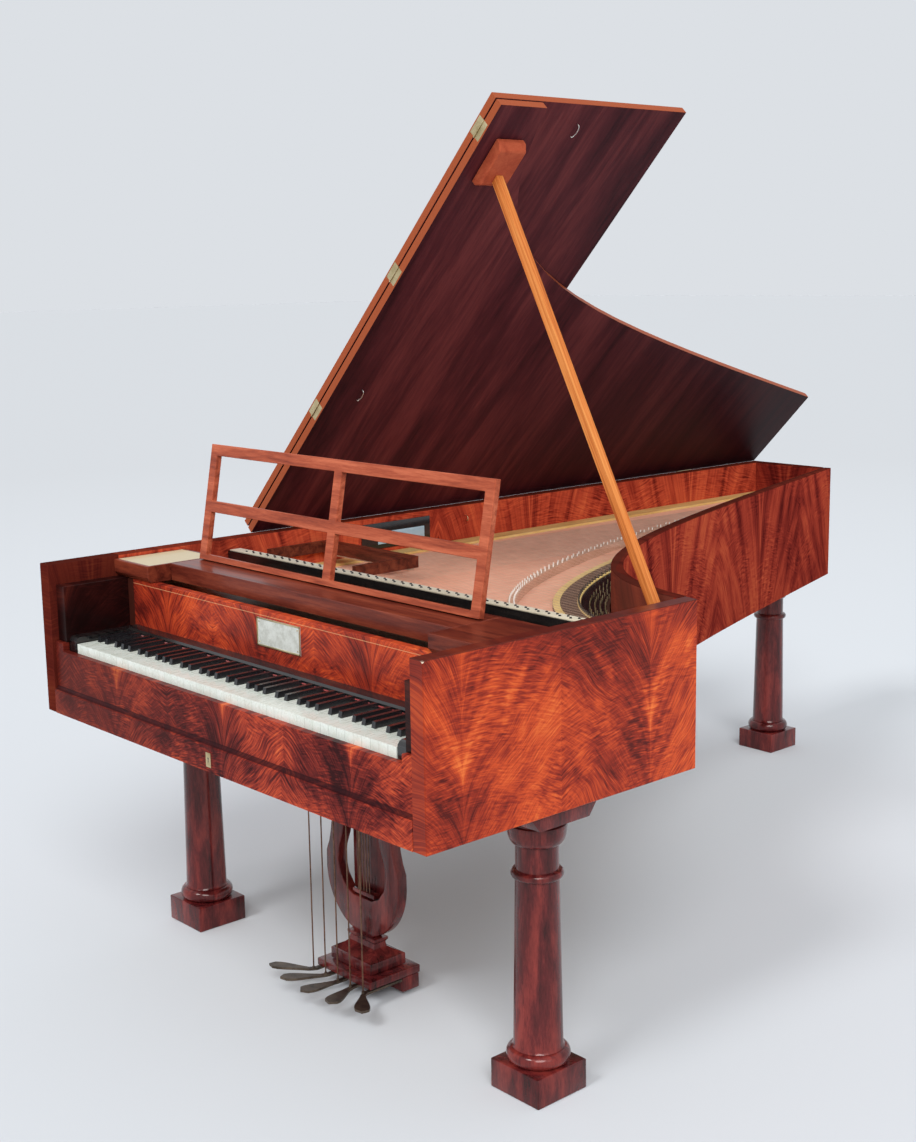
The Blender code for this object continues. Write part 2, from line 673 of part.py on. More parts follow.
def build_inside():
    side = INNER - GAP
    plank = block((-side, side), (PLANK_FRONT, PLANK_REAR), (PLANK_TOP - PLANK_THICKNESS, PLANK_TOP))
    place("wrest_plank", plank, "structure")

    foot = side - DAMPER_FOOT
    outline = [(-side, PLANK_TOP + GAP), (-foot, PLANK_TOP + GAP), (-foot, DAMPER_BOTTOM),
               (foot, DAMPER_BOTTOM), (foot, PLANK_TOP + GAP), (side, PLANK_TOP + GAP),
               (side, DAMPER_TOP), (-side, DAMPER_TOP)]
    damper = prism(outline, "Y", at(DAMPER_FRONT), at(DAMPER_FRONT + DAMPER_DEPTH - 0.001))
    place("damper_rail", damper, "ebonised")

    board_bottom = SOUNDBOARD_TOP - SOUNDBOARD_THICKNESS
    belly = block((-side, side), (BELLY_FRONT, BELLY_FRONT + BELLY_THICKNESS),
                  (FLOOR_TOP + GAP, board_bottom - GAP))
    place("belly_rail", belly, "structure")
    rear = CASE_LENGTH - WALL - GAP
    outline = inner_outline(GAP, BELLY_FRONT, rear)
    place("soundboard", prism(outline, "Z", board_bottom, SOUNDBOARD_TOP), "soundboard")

    low = SOUNDBOARD_TOP + GAP
    wall_side = inner_outline(GAP, BELLY_FRONT, rear)
    curve = moulding_curve(rear - MOULDING_WIDTH)
    left_edge = -side + MOULDING_WIDTH
    outline = [(-side, at(BELLY_FRONT)), (left_edge, at(BELLY_FRONT)), (left_edge, at(curve[-1].y))]
    outline += [(point.x, at(point.y)) for point in reversed(curve)]
    outline += [(x, y) for x, y in wall_side[2:]]
    moulding = prism(outline, "Z", low, low + MOULDING_HEIGHT)
    place("soundboard_moulding", moulding, "pale_wood")

    middle = bridge_curve()
    one, other = inset_line(middle, BRIDGE_WIDTH / 2), inset_line(middle, -BRIDGE_WIDTH / 2)
    outline = [(p.x, at(p.y)) for p in one] + [(p.x, at(p.y)) for p in reversed(other)]
    place("bridge", prism(outline, "Z", low, low + BRIDGE_HEIGHT), "soundboard")

    bar_near = BASSOON_FRONT + BASSOON_REACH
    arm_right = BASSOON_RIGHT - BASSOON_ARM
    left = -INNER + 2 * GAP
    outline = [(left, BASSOON_FRONT), (left + BASSOON_ARM, BASSOON_FRONT),
               (left + BASSOON_ARM, bar_near), (arm_right, bar_near), (arm_right, BASSOON_FRONT),
               (BASSOON_RIGHT, BASSOON_FRONT), (BASSOON_RIGHT, bar_near + BASSOON_BAR),
               (left, bar_near + BASSOON_BAR)]
    stop = prism([(x, at(d)) for x, d in outline], "Z",
                 BASSOON_BOTTOM, BASSOON_BOTTOM + BASSOON_HEIGHT)
    pivot = (-INNER, at(BASSOON_FRONT), BASSOON_BOTTOM + BASSOON_HEIGHT / 2)
    place("bassoon_stop", stop, "dark_veneer", pivot)


def build_desk():
    low = ARM_TOP + GAP
    profile = [(BLOCK_FRONT + BLOCK_BEVEL, low), (BLOCK_FRONT, low + BLOCK_BEVEL),
               (BLOCK_FRONT, BLOCK_TOP), (BLOCK_REAR, BLOCK_TOP), (BLOCK_REAR, low)]
    outer = INNER - GAP
    inner = INNER - BLOCK_WIDTH
    for name, left, right in (("candle_block_bass", -outer, -inner),
                              ("candle_block_treble", inner, outer)):
        soften(place(name, prism([(at(d), z) for d, z in profile], "X", left, right),
                     "dark_veneer"), 0.0012)
    side = inner - GAP
    shelf = block((-side, side), (SHELF_FRONT, BLOCK_REAR), (low, BLOCK_TOP))
    soften(place("desk_shelf", shelf, "desk_wood"), 0.0012)

    right = side - DESK_CLEARANCE
    left = -right
    foot = BLOCK_TOP + GAP
    top = foot + DESK_HEIGHT
    frame = prism([(left, foot), (right, foot), (right, top), (left, top)], "Y",
                  at(DESK_DEPTH), at(DESK_DEPTH) + DESK_THICKNESS)
    origin = (0.0, at(DESK_DEPTH) + DESK_THICKNESS, foot)
    frame = place("desk_frame", frame, "desk_wood", origin, (-DESK_LEAN, 0.0, 0.0))
    rows = ((foot + DESK_FOOT_RAIL, foot + DESK_MIDDLE),
            (foot + DESK_MIDDLE + DESK_STILE, top - DESK_STILE))
    middle = DESK_STILE / 2
    columns = ((left + DESK_STILE, -middle), (middle, right - DESK_STILE))
    windows = bmesh.new()
    for low_z, high_z in rows:
        for low_x, high_x in columns:
            window = block((low_x, high_x), (DESK_DEPTH - 0.02, DESK_DEPTH + 0.04), (low_z, high_z))
            windows = join_shapes(windows, window)
    guide = place("guide_desk_windows", windows, "desk_wood", origin, (-DESK_LEAN, 0.0, 0.0))
    combine(frame, guide, "DIFFERENCE")
    soften(frame, 0.001)


def lid_outline(front_depth):
    outer = cut_line(bentside_outer(), HALF - 1e-4, CASE_LENGTH)
    points = [(-HALF, front_depth), (HALF, front_depth), (HALF, CHEEK_LENGTH)]
    points += [(point.x, point.y) for point in outer]
    points.append((-HALF, CASE_LENGTH))
    return [(x, at(depth)) for x, depth in points]


def build_lid():
    raised = (0.0, -LID_ANGLE, 0.0)
    low = HINGE.z
    top = low + LID_THICKNESS
    origin = (HINGE.x, 0.0, HINGE.z)
    main = place("lid_main", prism(lid_outline(LID_FRONT), "Z", low, top), "dark_veneer",
                 origin, raised)
    soften(main, LID_ROUND, 2)

    near = LID_FRONT + GAP
    rear = near + LID_FRONT
    flap_low = top + FOLD_GAP
    flap = block((-HALF, HALF), (near, rear), (flap_low, flap_low + LID_THICKNESS))
    flap = place("lid_flap", flap, "dark_veneer", origin, raised)
    pads = bmesh.new()
    half = BUFFER_WIDTH / 2
    side = HALF - BUFFER_INSET
    front, back = near + BUFFER_SETBACK, rear - BUFFER_SETBACK
    far_side = bentside_reach(back) - BUFFER_INSET
    for x, depth in ((-side, front), (side, front), (-side, back), (far_side, back)):
        pads = join_shapes(pads, block((x - half, x + half), (depth - half, depth + half),
                                       (top + GAP, flap_low + 0.001)))
    combine(flap, place("guide_flap_buffers", pads, "dark_veneer", origin, raised), "UNION")
    soften(flap, LID_ROUND, 2)

    middle = HINGE.x + PAD_ALONG
    outline = [(middle - PAD_LENGTH / 2, low - GAP), (middle + PAD_LENGTH / 2, low - GAP),
               (middle + PAD_LENGTH / 2, low - GAP - PAD_THICKNESS * 0.5),
               (middle + PAD_LENGTH / 2 - PAD_THICKNESS * 0.5, low - GAP - PAD_THICKNESS),
               (middle - PAD_LENGTH / 2 + PAD_THICKNESS * 0.5, low - GAP - PAD_THICKNESS),
               (middle - PAD_LENGTH / 2, low - GAP - PAD_THICKNESS * 0.5)]
    pad = prism(outline, "Y", at(PAD_DEPTH - PAD_WIDTH / 2), at(PAD_DEPTH + PAD_WIDTH / 2))
    soften(place("prop_pad", pad, "turned_wood", origin, raised), 0.002)


def lid_point(along, below):
    """World (x, z) of a place on the raised lid: along it and below its face."""
    c, s = math.cos(LID_ANGLE), math.sin(LID_ANGLE)
    return HINGE.x + along * c + below * s, HINGE.z + along * s - below * c


def build_prop():
    """Square stick from its lug on the cheek to the pad, cut to the pad's face."""
    half = PROP_SECTION / 2
    top = Vector(lid_point(PROP_TOP_ALONG, GAP + PAD_THICKNESS + GAP))
    foot = Vector((PROP_FOOT_X, PROP_FOOT_Z))
    along = (top - foot).normalized()
    across = Vector((along.y, -along.x))
    face = Vector((math.cos(LID_ANGLE), math.sin(LID_ANGLE)))
    skew = face * (half / abs(face.dot(across)))
    if skew.dot(across) < 0:
        skew = -skew
    start = math.atan2(across.y, across.x)
    foot_round = [foot + Vector((math.cos(start - a), math.sin(start - a))) * half
                  for a in [math.pi * i / 6 for i in range(7)]]
    outline = [top - skew, top + skew] + foot_round
    stick = prism([(p.x, p.y) for p in outline], "Y", at(PAD_DEPTH) - half, at(PAD_DEPTH) + half)
    place("prop_stick", stick, "prop_wood", (PROP_FOOT_X, at(PAD_DEPTH), PROP_FOOT_Z))


def build_legs():
    slab_low = CASE_BOTTOM - GAP - SLAB_HEIGHT
    column_foot = PLINTH_HEIGHT + TORUS_HEIGHT + 0.005
    ring_half = 0.008
    cap_low = slab_low - 0.020
    flare_low = slab_low - CAPITAL_HEIGHT
    neck = COLUMN_NECK_RADIUS
    profile = [(0.0, PLINTH_HEIGHT - 0.006), (TORUS_RADIUS - 0.012, PLINTH_HEIGHT - 0.006)]
    profile += round_out(TORUS_RADIUS - 0.012, PLINTH_HEIGHT, 0.012, TORUS_HEIGHT)
    profile += [(COLUMN_FOOT_RADIUS + 0.003, PLINTH_HEIGHT + TORUS_HEIGHT + 0.001),
                (COLUMN_FOOT_RADIUS, column_foot), (neck + 0.0008, RING_HEIGHT - ring_half)]
    profile += round_out(RING_RADIUS - 0.006, RING_HEIGHT - ring_half, 0.006, 2 * ring_half, 4)
    profile += [(neck, RING_HEIGHT + ring_half), (neck, flare_low)]
    for step in range(1, 5):
        turn = math.pi / 2 * step / 4
        profile.append((neck + (CAPITAL_RADIUS - neck) * math.sin(turn),
                        flare_low + (cap_low - flare_low) * (1 - math.cos(turn))))
    profile += [(CAPITAL_RADIUS, slab_low + 0.004), (0.0, slab_low + 0.004)]

    half = SLAB_LENGTH / 2
    slab_outline = [(-half + SLAB_CHAMFER, slab_low), (half - SLAB_CHAMFER, slab_low),
                    (half, CASE_BOTTOM - GAP), (-half, CASE_BOTTOM - GAP)]
    places = (("leg_bass", -LEG_X, LEG_DEPTH), ("leg_treble", LEG_X, LEG_DEPTH),
              ("leg_tail", TAIL_LEG_X, TAIL_LEG_DEPTH))
    for name, x, depth in places:
        where = Matrix.Translation((x, at(depth), 0.0))
        column = turned(profile)
        bmesh.ops.transform(column, matrix=where, verts=column.verts)
        leg = shade_round(place(name, column, "turned_wood"))
        plinth = loft([(PLINTH_WIDTH / 2 - 0.002, PLINTH_WIDTH / 2 - 0.002, 0.0),
                       (PLINTH_WIDTH / 2, PLINTH_WIDTH / 2, 0.002),
                       (PLINTH_WIDTH / 2, PLINTH_WIDTH / 2, PLINTH_HEIGHT - 0.003),
                       (PLINTH_WIDTH / 2 - 0.003, PLINTH_WIDTH / 2 - 0.003, PLINTH_HEIGHT)])
        bmesh.ops.transform(plinth, matrix=where, verts=plinth.verts)
        combine(leg, place(f"guide_{name}_plinth", plinth, "turned_wood"), "UNION")
        slab = prism(slab_outline, "X", -SLAB_WIDTH / 2, SLAB_WIDTH / 2)
        bmesh.ops.transform(slab, matrix=where, verts=slab.verts)
        combine(leg, place(f"guide_{name}_slab", slab, "turned_wood"), "UNION")


def mirrored(points):
    """Closed outline from its right half, listed from the foot to the top."""
    return points + [(-x, z) for x, z in reversed(points)]


def build_lyre():
    top = CASE_BOTTOM - GAP
    near, far = LYRE_DEPTH - LYRE_THICKNESS / 2, LYRE_DEPTH + LYRE_THICKNESS / 2
    bowl = [(0.117 * math.sin(a), LYRE_FOOT + 0.127 * (1 - math.cos(a)))
            for a in [math.radians(18 + 72 * i / 7) for i in range(8)]]
    arms = [(0.1165, LYRE_HORN), (0.107, LYRE_HORN + 0.022), (0.101, LYRE_HORN + 0.045),
            (0.096, LYRE_HORN + 0.075), (0.092, LYRE_HORN + 0.13), (0.092, top)]
    plate = prism(mirrored([(0.030, LYRE_FOOT)] + bowl + arms), "Y", at(near), at(far))
    lyre = place("lyre_body", plate, "turned_wood")

    slot_low = LYRE_FOOT + 0.080
    slot = [(0.030, slot_low), (0.052, slot_low + 0.010), (0.070, slot_low + 0.033),
            (0.078, slot_low + 0.062), (0.073, slot_low + 0.092), (0.061, slot_low + 0.122),
            (0.053, slot_low + 0.160), (0.050, slot_low + 0.200), (0.050, top - 0.050)]
    cut = prism(mirrored(slot), "Y", at(near - 0.01), at(far + 0.01))
    combine(lyre, place("guide_lyre_slot", cut, "turned_wood"), "DIFFERENCE")

    bottom = LYRE_BASE_BOTTOM
    rings = [(0.0875, 0.066, bottom), (0.0875, 0.066, bottom + 0.0150),
             (0.0840, 0.0625, bottom + 0.0185), (0.0660, 0.046, bottom + 0.0190),
             (0.0660, 0.046, bottom + 0.0420), (0.0620, 0.042, bottom + 0.0450),
             (0.0450, 0.024, bottom + 0.0530), (0.0400, 0.015, bottom + 0.0590),
             (0.0400, 0.014, bottom + 0.0700), (0.0440, 0.018, bottom + 0.0720),
             (0.0440, 0.018, LYRE_FOOT + 0.0010)]
    base = loft(rings)
    bmesh.ops.translate(base, vec=(0.0, at(LYRE_DEPTH), 0.0), verts=base.verts)
    combine(lyre, place("guide_lyre_base", base, "turned_wood"), "UNION")
    side = PEDAL_PITCH * 2 + 0.006
    pivot = block((-side, side), (PIVOT_BLOCK_FRONT, LYRE_DEPTH + 0.062),
                  (PIVOT_BLOCK_BOTTOM, bottom + 0.004))
    combine(lyre, place("guide_pivot_block", pivot, "turned_wood"), "UNION")

    half = BACK_PANEL_WIDTH / 2
    panel = block((-half, half), (far + GAP, far + GAP + BACK_PANEL_THICKNESS),
                  (slot_low - 0.018, top - 0.022))
    soften(place("lyre_back", panel, "turned_wood"), 0.001)


def pedal_x(number):
    return (number - (PEDAL_COUNT - 1) / 2) * PEDAL_PITCH


def pedal_outline(number):
    """Plan of a pedal: a straight lever, then a leaf turned outwards."""
    x = pedal_x(number)
    fan = (number - (PEDAL_COUNT - 1) / 2) * PEDAL_FAN
    half = PEDAL_LEVER_WIDTH / 2
    along = Vector((math.sin(fan), -math.cos(fan)))
    across = Vector((math.cos(fan), math.sin(fan)))
    start = Vector((x, at(PEDAL_ROD_DEPTH)))
    steps = 9
    right, left = [], []
    for i in range(1, steps + 1):
        t = i / steps
        belly = half * 0.8 + (PEDAL_LEAF_WIDTH / 2 - half * 0.8) * math.sin(math.pi * t ** 1.5 * 0.62)
        width = belly * math.sqrt(max(0.0, 1.0 - t ** 9))
        middle = start + along * (PEDAL_LEAF_LENGTH * t)
        if i < steps:
            right.append(middle + across * width)
            left.append(middle - across * width)
        else:
            right.append(middle)
    lever_rear = at(PIVOT_BLOCK_FRONT - 2 * GAP)
    lever = [Vector((x - half, lever_rear)), Vector((x + half, lever_rear))]
    shoulder = at(PEDAL_ROD_DEPTH) + 0.006
    return (lever + [Vector((x + half, shoulder))] + right + list(reversed(left))
            + [Vector((x - half, shoulder))])


def build_pedals():
    low, high = PEDAL_TOP - PEDAL_THICKNESS, PEDAL_TOP
    rod_y = at(PEDAL_ROD_DEPTH)
    boss_top = high + 0.004
    for number, label in enumerate(PEDAL_NAMES):
        x = pedal_x(number)
        leaf = prism([(p.x, p.y) for p in pedal_outline(number)], "Z", low, high)
        bend = rod_y - 0.004
        bmesh.ops.bisect_plane(leaf, geom=leaf.verts[:] + leaf.edges[:] + leaf.faces[:],
                               plane_co=(0.0, bend, 0.0), plane_no=(0.0, 1.0, 0.0))
        for vert in leaf.verts:
            vert.co.z += max(0.0, bend - vert.co.y) * PEDAL_RISE
        pivot = (x, at(PIVOT_BLOCK_FRONT) - 2 * GAP, (low + high) / 2)
        pedal = place(f"pedal_{label}", leaf, "bronze", pivot)
        boss = turned([(0.0, high - 0.002), (0.0038, high - 0.002),
                       (0.0030, boss_top), (0.0, boss_top)], 8)
        bmesh.ops.translate(boss, vec=(x, rod_y, 0.0), verts=boss.verts)
        combine(pedal, place(f"guide_boss_{label}", boss, "bronze"), "UNION")

        rod = turned([(0.0, boss_top + 0.0004), (ROD_RADIUS, boss_top + 0.0004),
                      (ROD_RADIUS, FLOOR_TOP - 0.002), (0.0, FLOOR_TOP - 0.002)], 8)
        bmesh.ops.translate(rod, vec=(x, rod_y, 0.0), verts=rod.verts)
        shade_round(place(f"rod_{label}", rod, "bronze", (x, rod_y, boss_top)))


def build():
    clear_scene()
    build_case_walls()
    build_bottom()
    build_front()
    build_keyboard()
    build_nameboard()
    build_inside()
    build_desk()
    build_lid()
    build_prop()
    build_legs()
    build_lyre()
    build_pedals()


build()
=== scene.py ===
"""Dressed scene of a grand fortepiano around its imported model.

Units are metres in the model's own frame: the floor is z = 0, +X runs to the
treble and +Y from the player to the tail. Depths are measured from the front of
the case.
"""
import math

import bmesh
import bpy
from mathutils import Euler, Matrix, Vector
from mathutils.geometry import interpolate_bezier


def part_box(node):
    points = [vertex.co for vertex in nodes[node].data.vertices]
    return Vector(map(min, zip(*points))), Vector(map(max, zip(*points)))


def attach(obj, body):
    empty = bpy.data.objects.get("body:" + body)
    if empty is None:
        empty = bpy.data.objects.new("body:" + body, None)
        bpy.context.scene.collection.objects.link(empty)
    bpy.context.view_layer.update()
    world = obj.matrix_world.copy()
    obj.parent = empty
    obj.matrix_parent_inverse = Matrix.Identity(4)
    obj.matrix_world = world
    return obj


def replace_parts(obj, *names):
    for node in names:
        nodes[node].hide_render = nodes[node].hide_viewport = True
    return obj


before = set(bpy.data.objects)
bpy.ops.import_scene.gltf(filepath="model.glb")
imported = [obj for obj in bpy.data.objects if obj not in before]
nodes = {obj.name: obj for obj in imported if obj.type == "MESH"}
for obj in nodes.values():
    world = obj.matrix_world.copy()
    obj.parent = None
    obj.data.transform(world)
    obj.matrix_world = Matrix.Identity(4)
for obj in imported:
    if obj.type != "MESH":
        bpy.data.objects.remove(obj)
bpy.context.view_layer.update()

# Places that the frame gives
SPINE_LOW, SPINE_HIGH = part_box("spine")
FRONT = SPINE_LOW.y
CASE_LENGTH = SPINE_HIGH.y - SPINE_LOW.y
CASE_BOTTOM = SPINE_LOW.z
CASE_TOP = SPINE_HIGH.z
HALF = -SPINE_LOW.x
INNER = -SPINE_HIGH.x
CHEEK_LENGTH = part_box("cheek")[1].y - FRONT
KEY_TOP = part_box("key_c")[1].z
LEDGE_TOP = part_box("lock_rail")[1].z
HEAD_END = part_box("key_c_sharp")[0].y - 0.0008
SOUNDBOARD_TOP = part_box("soundboard")[1].z
BRIDGE_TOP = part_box("bridge")[1].z

# Lid
LID_ANGLE = math.radians(46.0)
LID_THICKNESS = 0.016
FOLD_GAP = 0.004
HINGE = Vector((-HALF, 0.0, CASE_TOP + 0.0003))
LID_FRONT = 0.540

# Lean of the prop from upright
PROP_LEAN = math.radians(27.54)

# Bentside, as its two end points and how far each pulls on the curve
TAIL_WIDTH = 0.284
BENT_CHEEK_PULL = (0.42, 0.05)
BENT_TAIL_PULL = (0.434, 1.40)
BENT_WALL = 0.025
BENT_STEPS = 72

# Strings and pins
STRING_COUNT = 78
STRING_HEIGHT = 0.0015
NATURAL_PITCH = 0.159 / 7


def at(depth):
    """World Y of a depth behind the front edge of the case."""
    return FRONT + depth


# Node helpers

WARM_TINT = (1.0, 0.62, 0.50, 1.0)


def start(name, roughness, metallic=0.0, coat=0.0, specular=0.5):
    """New material with its constant sockets set."""
    made = bpy.data.materials.new(name)
    made.use_nodes = True
    shader = made.node_tree.nodes["Principled BSDF"]
    shader.inputs["Roughness"].default_value = roughness
    shader.inputs["Metallic"].default_value = metallic
    shader.inputs["Coat Weight"].default_value = coat
    shader.inputs["Coat Roughness"].default_value = 0.12
    shader.inputs["Specular IOR Level"].default_value = specular
    return made, made.node_tree, shader


def start_wood(name, roughness, coat, specular):
    """Polished wood, whose reflections are a little warm."""
    made, tree, shader = start(name, roughness, 0.0, coat, specular)
    shader.inputs["Specular Tint"].default_value = WARM_TINT
    return made, tree, shader


def add(tree, kind, values=None, **settings):
    made = tree.nodes.new(kind)
    for key, value in settings.items():
        setattr(made, key, value)
    for key, value in (values or {}).items():
        made.inputs[key].default_value = value
    return made


def join(tree, source, target):
    tree.links.new(source, target)
    return target.node


def object_place(tree, scale=(1, 1, 1), turn=(0, 0, 0), shift=(0, 0, 0)):
    """Object coordinates, scaled, turned and moved."""
    coordinates = add(tree, "ShaderNodeTexCoord")
    mapping = add(tree, "ShaderNodeMapping", {"Scale": scale, "Rotation": turn, "Location": shift})
    join(tree, coordinates.outputs["Object"], mapping.inputs["Vector"])
    return mapping.outputs["Vector"]


def turned_place(tree, turn, scale):
    """Object coordinates turned to lie along a piece, and then scaled."""
    first = object_place(tree, turn=turn)
    mapping = add(tree, "ShaderNodeMapping", {"Scale": scale})
    join(tree, first, mapping.inputs["Vector"])
    return mapping.outputs["Vector"]


def noise(tree, vector, scale, detail=4.0, roughness=0.55, distortion=0.0):
    made = add(tree, "ShaderNodeTexNoise", {"Scale": scale, "Detail": detail, "Roughness": roughness,
                                            "Distortion": distortion})
    join(tree, vector, made.inputs["Vector"])
    return made.outputs["Fac"]


def math_node(tree, operation, first, second=None):
    """Math node of sockets or plain numbers."""
    made = add(tree, "ShaderNodeMath", operation=operation)
    for socket, value in zip(made.inputs, (first, second)):
        if value is None:
            continue
        if isinstance(value, (int, float)):
            socket.default_value = value
        else:
            join(tree, value, socket)
    return made.outputs["Value"]


def ramp(tree, source, stops):
    """Colour ramp of (position, colour) stops."""
    made = add(tree, "ShaderNodeValToRGB")
    elements = made.color_ramp.elements
    while len(elements) < len(stops):
        elements.new(0.5)
    for element, (position, colour) in zip(elements, stops):
        element.position = position
        element.color = (*colour, 1.0)
    join(tree, source, made.inputs["Fac"])
    return made.outputs["Color"]


def mix_colour(tree, factor, first, second, blend="MIX"):
    made = add(tree, "ShaderNodeMix", data_type="RGBA", blend_type=blend)
    for socket, value in ((made.inputs[0], factor), (made.inputs[6], first), (made.inputs[7], second)):
        if isinstance(value, (int, float)):
            socket.default_value = value
        elif isinstance(value, tuple):
            socket.default_value = (*value, 1.0)
        else:
            join(tree, value, socket)
    return made.outputs[2]


def bump(tree, shader, height, strength, distance):
    made = add(tree, "ShaderNodeBump", {"Strength": strength, "Distance": distance})
    join(tree, height, made.inputs["Height"])
    join(tree, made.outputs["Normal"], shader.inputs["Normal"])


def rough(tree, shader, source, low, high):
    """Roughness that wanders between two values."""
    made = add(tree, "ShaderNodeMapRange", {"To Min": low, "To Max": high})
    join(tree, source, made.inputs["Value"])
    join(tree, made.outputs["Result"], shader.inputs["Roughness"])


def band(tree, value, low, high):
    """1 where a value lies between two limits, else 0."""
    above = math_node(tree, "GREATER_THAN", value, low)
    below = math_node(tree, "LESS_THAN", value, high)
    return math_node(tree, "MULTIPLY", above, below)


def axes_of(tree):
    """The three object coordinates."""
    coordinates = add(tree, "ShaderNodeTexCoord")
    split = add(tree, "ShaderNodeSeparateXYZ")
    join(tree, coordinates.outputs["Object"], split.inputs["Vector"])
    return split.outputs["X"], split.outputs["Y"], split.outputs["Z"]


# Finishes

DARK_RED = (0.090, 0.009, 0.007)
DEEP_RED = (0.300, 0.028, 0.013)
ORANGE_RED = (0.600, 0.076, 0.020)
ORANGE = (0.820, 0.190, 0.044)


def flame_colour(tree, along, leaf, seam, centre, shades, rise):
    """Book-matched crotch figure, whose plumes sweep up and outwards from each seam."""
    vector = object_place(tree)
    split = add(tree, "ShaderNodeSeparateXYZ")
    join(tree, vector, split.inputs["Vector"])
    shifted = math_node(tree, "SUBTRACT", split.outputs[along], seam)
    across = math_node(tree, "PINGPONG", shifted, leaf)
    height = math_node(tree, "SUBTRACT", split.outputs["Z"], centre)
    warp = math_node(tree, "MULTIPLY", noise(tree, vector, 5.0, 2.0, 0.5), 0.10)
    lift = math_node(tree, "MULTIPLY", math_node(tree, "SQRT", math_node(tree, "ADD", across, 0.004)), rise)
    sweep = math_node(tree, "ADD", math_node(tree, "SUBTRACT", height, lift), warp)
    base = math_node(tree, "ADD", height, 0.34)
    reach = math_node(tree, "SQRT", math_node(tree, "ADD", math_node(tree, "POWER", across, 2.0),
                                              math_node(tree, "POWER", base, 2.0)))
    angle = math_node(tree, "ARCTAN2", across, base)

    def streaks(first, second, scale, detail, roughness, distortion):
        plane = add(tree, "ShaderNodeCombineXYZ")
        join(tree, first, plane.inputs["X"])
        join(tree, second, plane.inputs["Y"])
        stretched = add(tree, "ShaderNodeMapping", {"Scale": scale})
        join(tree, plane.outputs["Vector"], stretched.inputs["Vector"])
        return noise(tree, stretched.outputs["Vector"], 1.0, detail, roughness, distortion)

    plumes = streaks(sweep, across, (9.0, 7.0, 1.0), 4.0, 0.55, 0.6)
    threads = streaks(sweep, across, (210.0, 26.0, 1.0), 3.0, 0.70, 0.4)
    arcs = streaks(math_node(tree, "ADD", reach, math_node(tree, "MULTIPLY", warp, 0.5)), angle,
                   (240.0, 16.0, 1.0), 2.0, 0.60, 0.3)
    patches = ramp(tree, noise(tree, vector, 7.0, 3.0), [(0.42, (0.0, 0.0, 0.0)), (0.60, (1.0, 1.0, 1.0))])
    clouds = noise(tree, vector, 4.2, 3.0)
    number = math_node(tree, "FLOOR", math_node(tree, "DIVIDE", shifted, leaf))
    tone = add(tree, "ShaderNodeTexWhiteNoise", noise_dimensions="1D")
    join(tree, number, tone.inputs["W"])
    fibres = add(tree, "ShaderNodeMix")
    join(tree, patches, fibres.inputs["Factor"])
    join(tree, threads, fibres.inputs["A"])
    join(tree, arcs, fibres.inputs["B"])
    blend = math_node(tree, "MULTIPLY", plumes, 0.42)
    for part, weight in ((fibres.outputs["Result"], 0.42), (clouds, 0.28), (tone.outputs["Value"], 0.045)):
        blend = math_node(tree, "ADD", blend, math_node(tree, "MULTIPLY", part, weight))
    stops = [(0.475, shades[0]), (0.552, shades[1]), (0.630, shades[2]), (0.735, shades[3])]
    return ramp(tree, blend, stops), blend


def flame_veneer(name, along, leaf, seam, centre, shades, polish=0.14, mask=None, rise=0.60):
    """Polished crotch veneer, with an optional mask of worn places, inlays and painted shade."""
    made, tree, shader = start_wood(name, 0.30, polish * 0.5, polish)
    colour, figure = flame_colour(tree, along, leaf, seam, centre, shades, rise)
    if mask:
        colour = mask(tree, colour)
    _, _, z = axes_of(tree)
    rim = math_node(tree, "MULTIPLY", math_node(tree, "GREATER_THAN", z, CASE_TOP - 0.0016), 0.8)
    colour = mix_colour(tree, rim, colour, (0.070, 0.013, 0.009))
    join(tree, colour, shader.inputs["Base Color"])
    rough(tree, shader, figure, 0.26, 0.42)
    bump(tree, shader, figure, 0.06, 0.0005)
    return made


def grained(name, shades, scale, turn=(0, 0, 0), size=3.0, roughness=(0.28, 0.42), coat=0.3,
            mask=None, relief=0.12, gloss=0.16):
    """Plain grained wood, stretched along the axis with the small scale."""
    made, tree, shader = start_wood(name, roughness[0], coat * 0.4, gloss)
    vector = turned_place(tree, turn, scale)
    broad = noise(tree, vector, size, 5.0, 0.6, 0.5)
    fine = noise(tree, vector, size * 9.0, 3.0, 0.7)
    blend = math_node(tree, "ADD", math_node(tree, "MULTIPLY", broad, 0.75),
                      math_node(tree, "MULTIPLY", fine, 0.25))
    stops = [(0.34 + 0.30 * i / (len(shades) - 1), shade) for i, shade in enumerate(shades)]
    colour = ramp(tree, blend, stops)
    if mask:
        colour = mask(tree, colour)
    join(tree, colour, shader.inputs["Base Color"])
    rough(tree, shader, blend, *roughness)
    bump(tree, shader, fine, relief, 0.0004)
    return made


def worn_corner(tree, colour):
    """Pale chipped wood at the cheek's front top corner."""
    corner = (HALF, FRONT, CASE_TOP)
    coordinates = add(tree, "ShaderNodeTexCoord")
    distance = add(tree, "ShaderNodeVectorMath", operation="DISTANCE")
    join(tree, coordinates.outputs["Object"], distance.inputs[0])
    distance.inputs[1].default_value = corner
    ragged = math_node(tree, "MULTIPLY", noise(tree, coordinates.outputs["Object"], 90.0), 0.012)
    near = math_node(tree, "LESS_THAN", math_node(tree, "ADD", distance.outputs["Value"], ragged), 0.0105)
    front = math_node(tree, "MULTIPLY", math_node(tree, "LESS_THAN", axes_of(tree)[1], FRONT + 0.0015), 0.35)
    colour = mix_colour(tree, front, colour, (0.100, 0.014, 0.010))
    return mix_colour(tree, near, colour, (0.72, 0.58, 0.44))


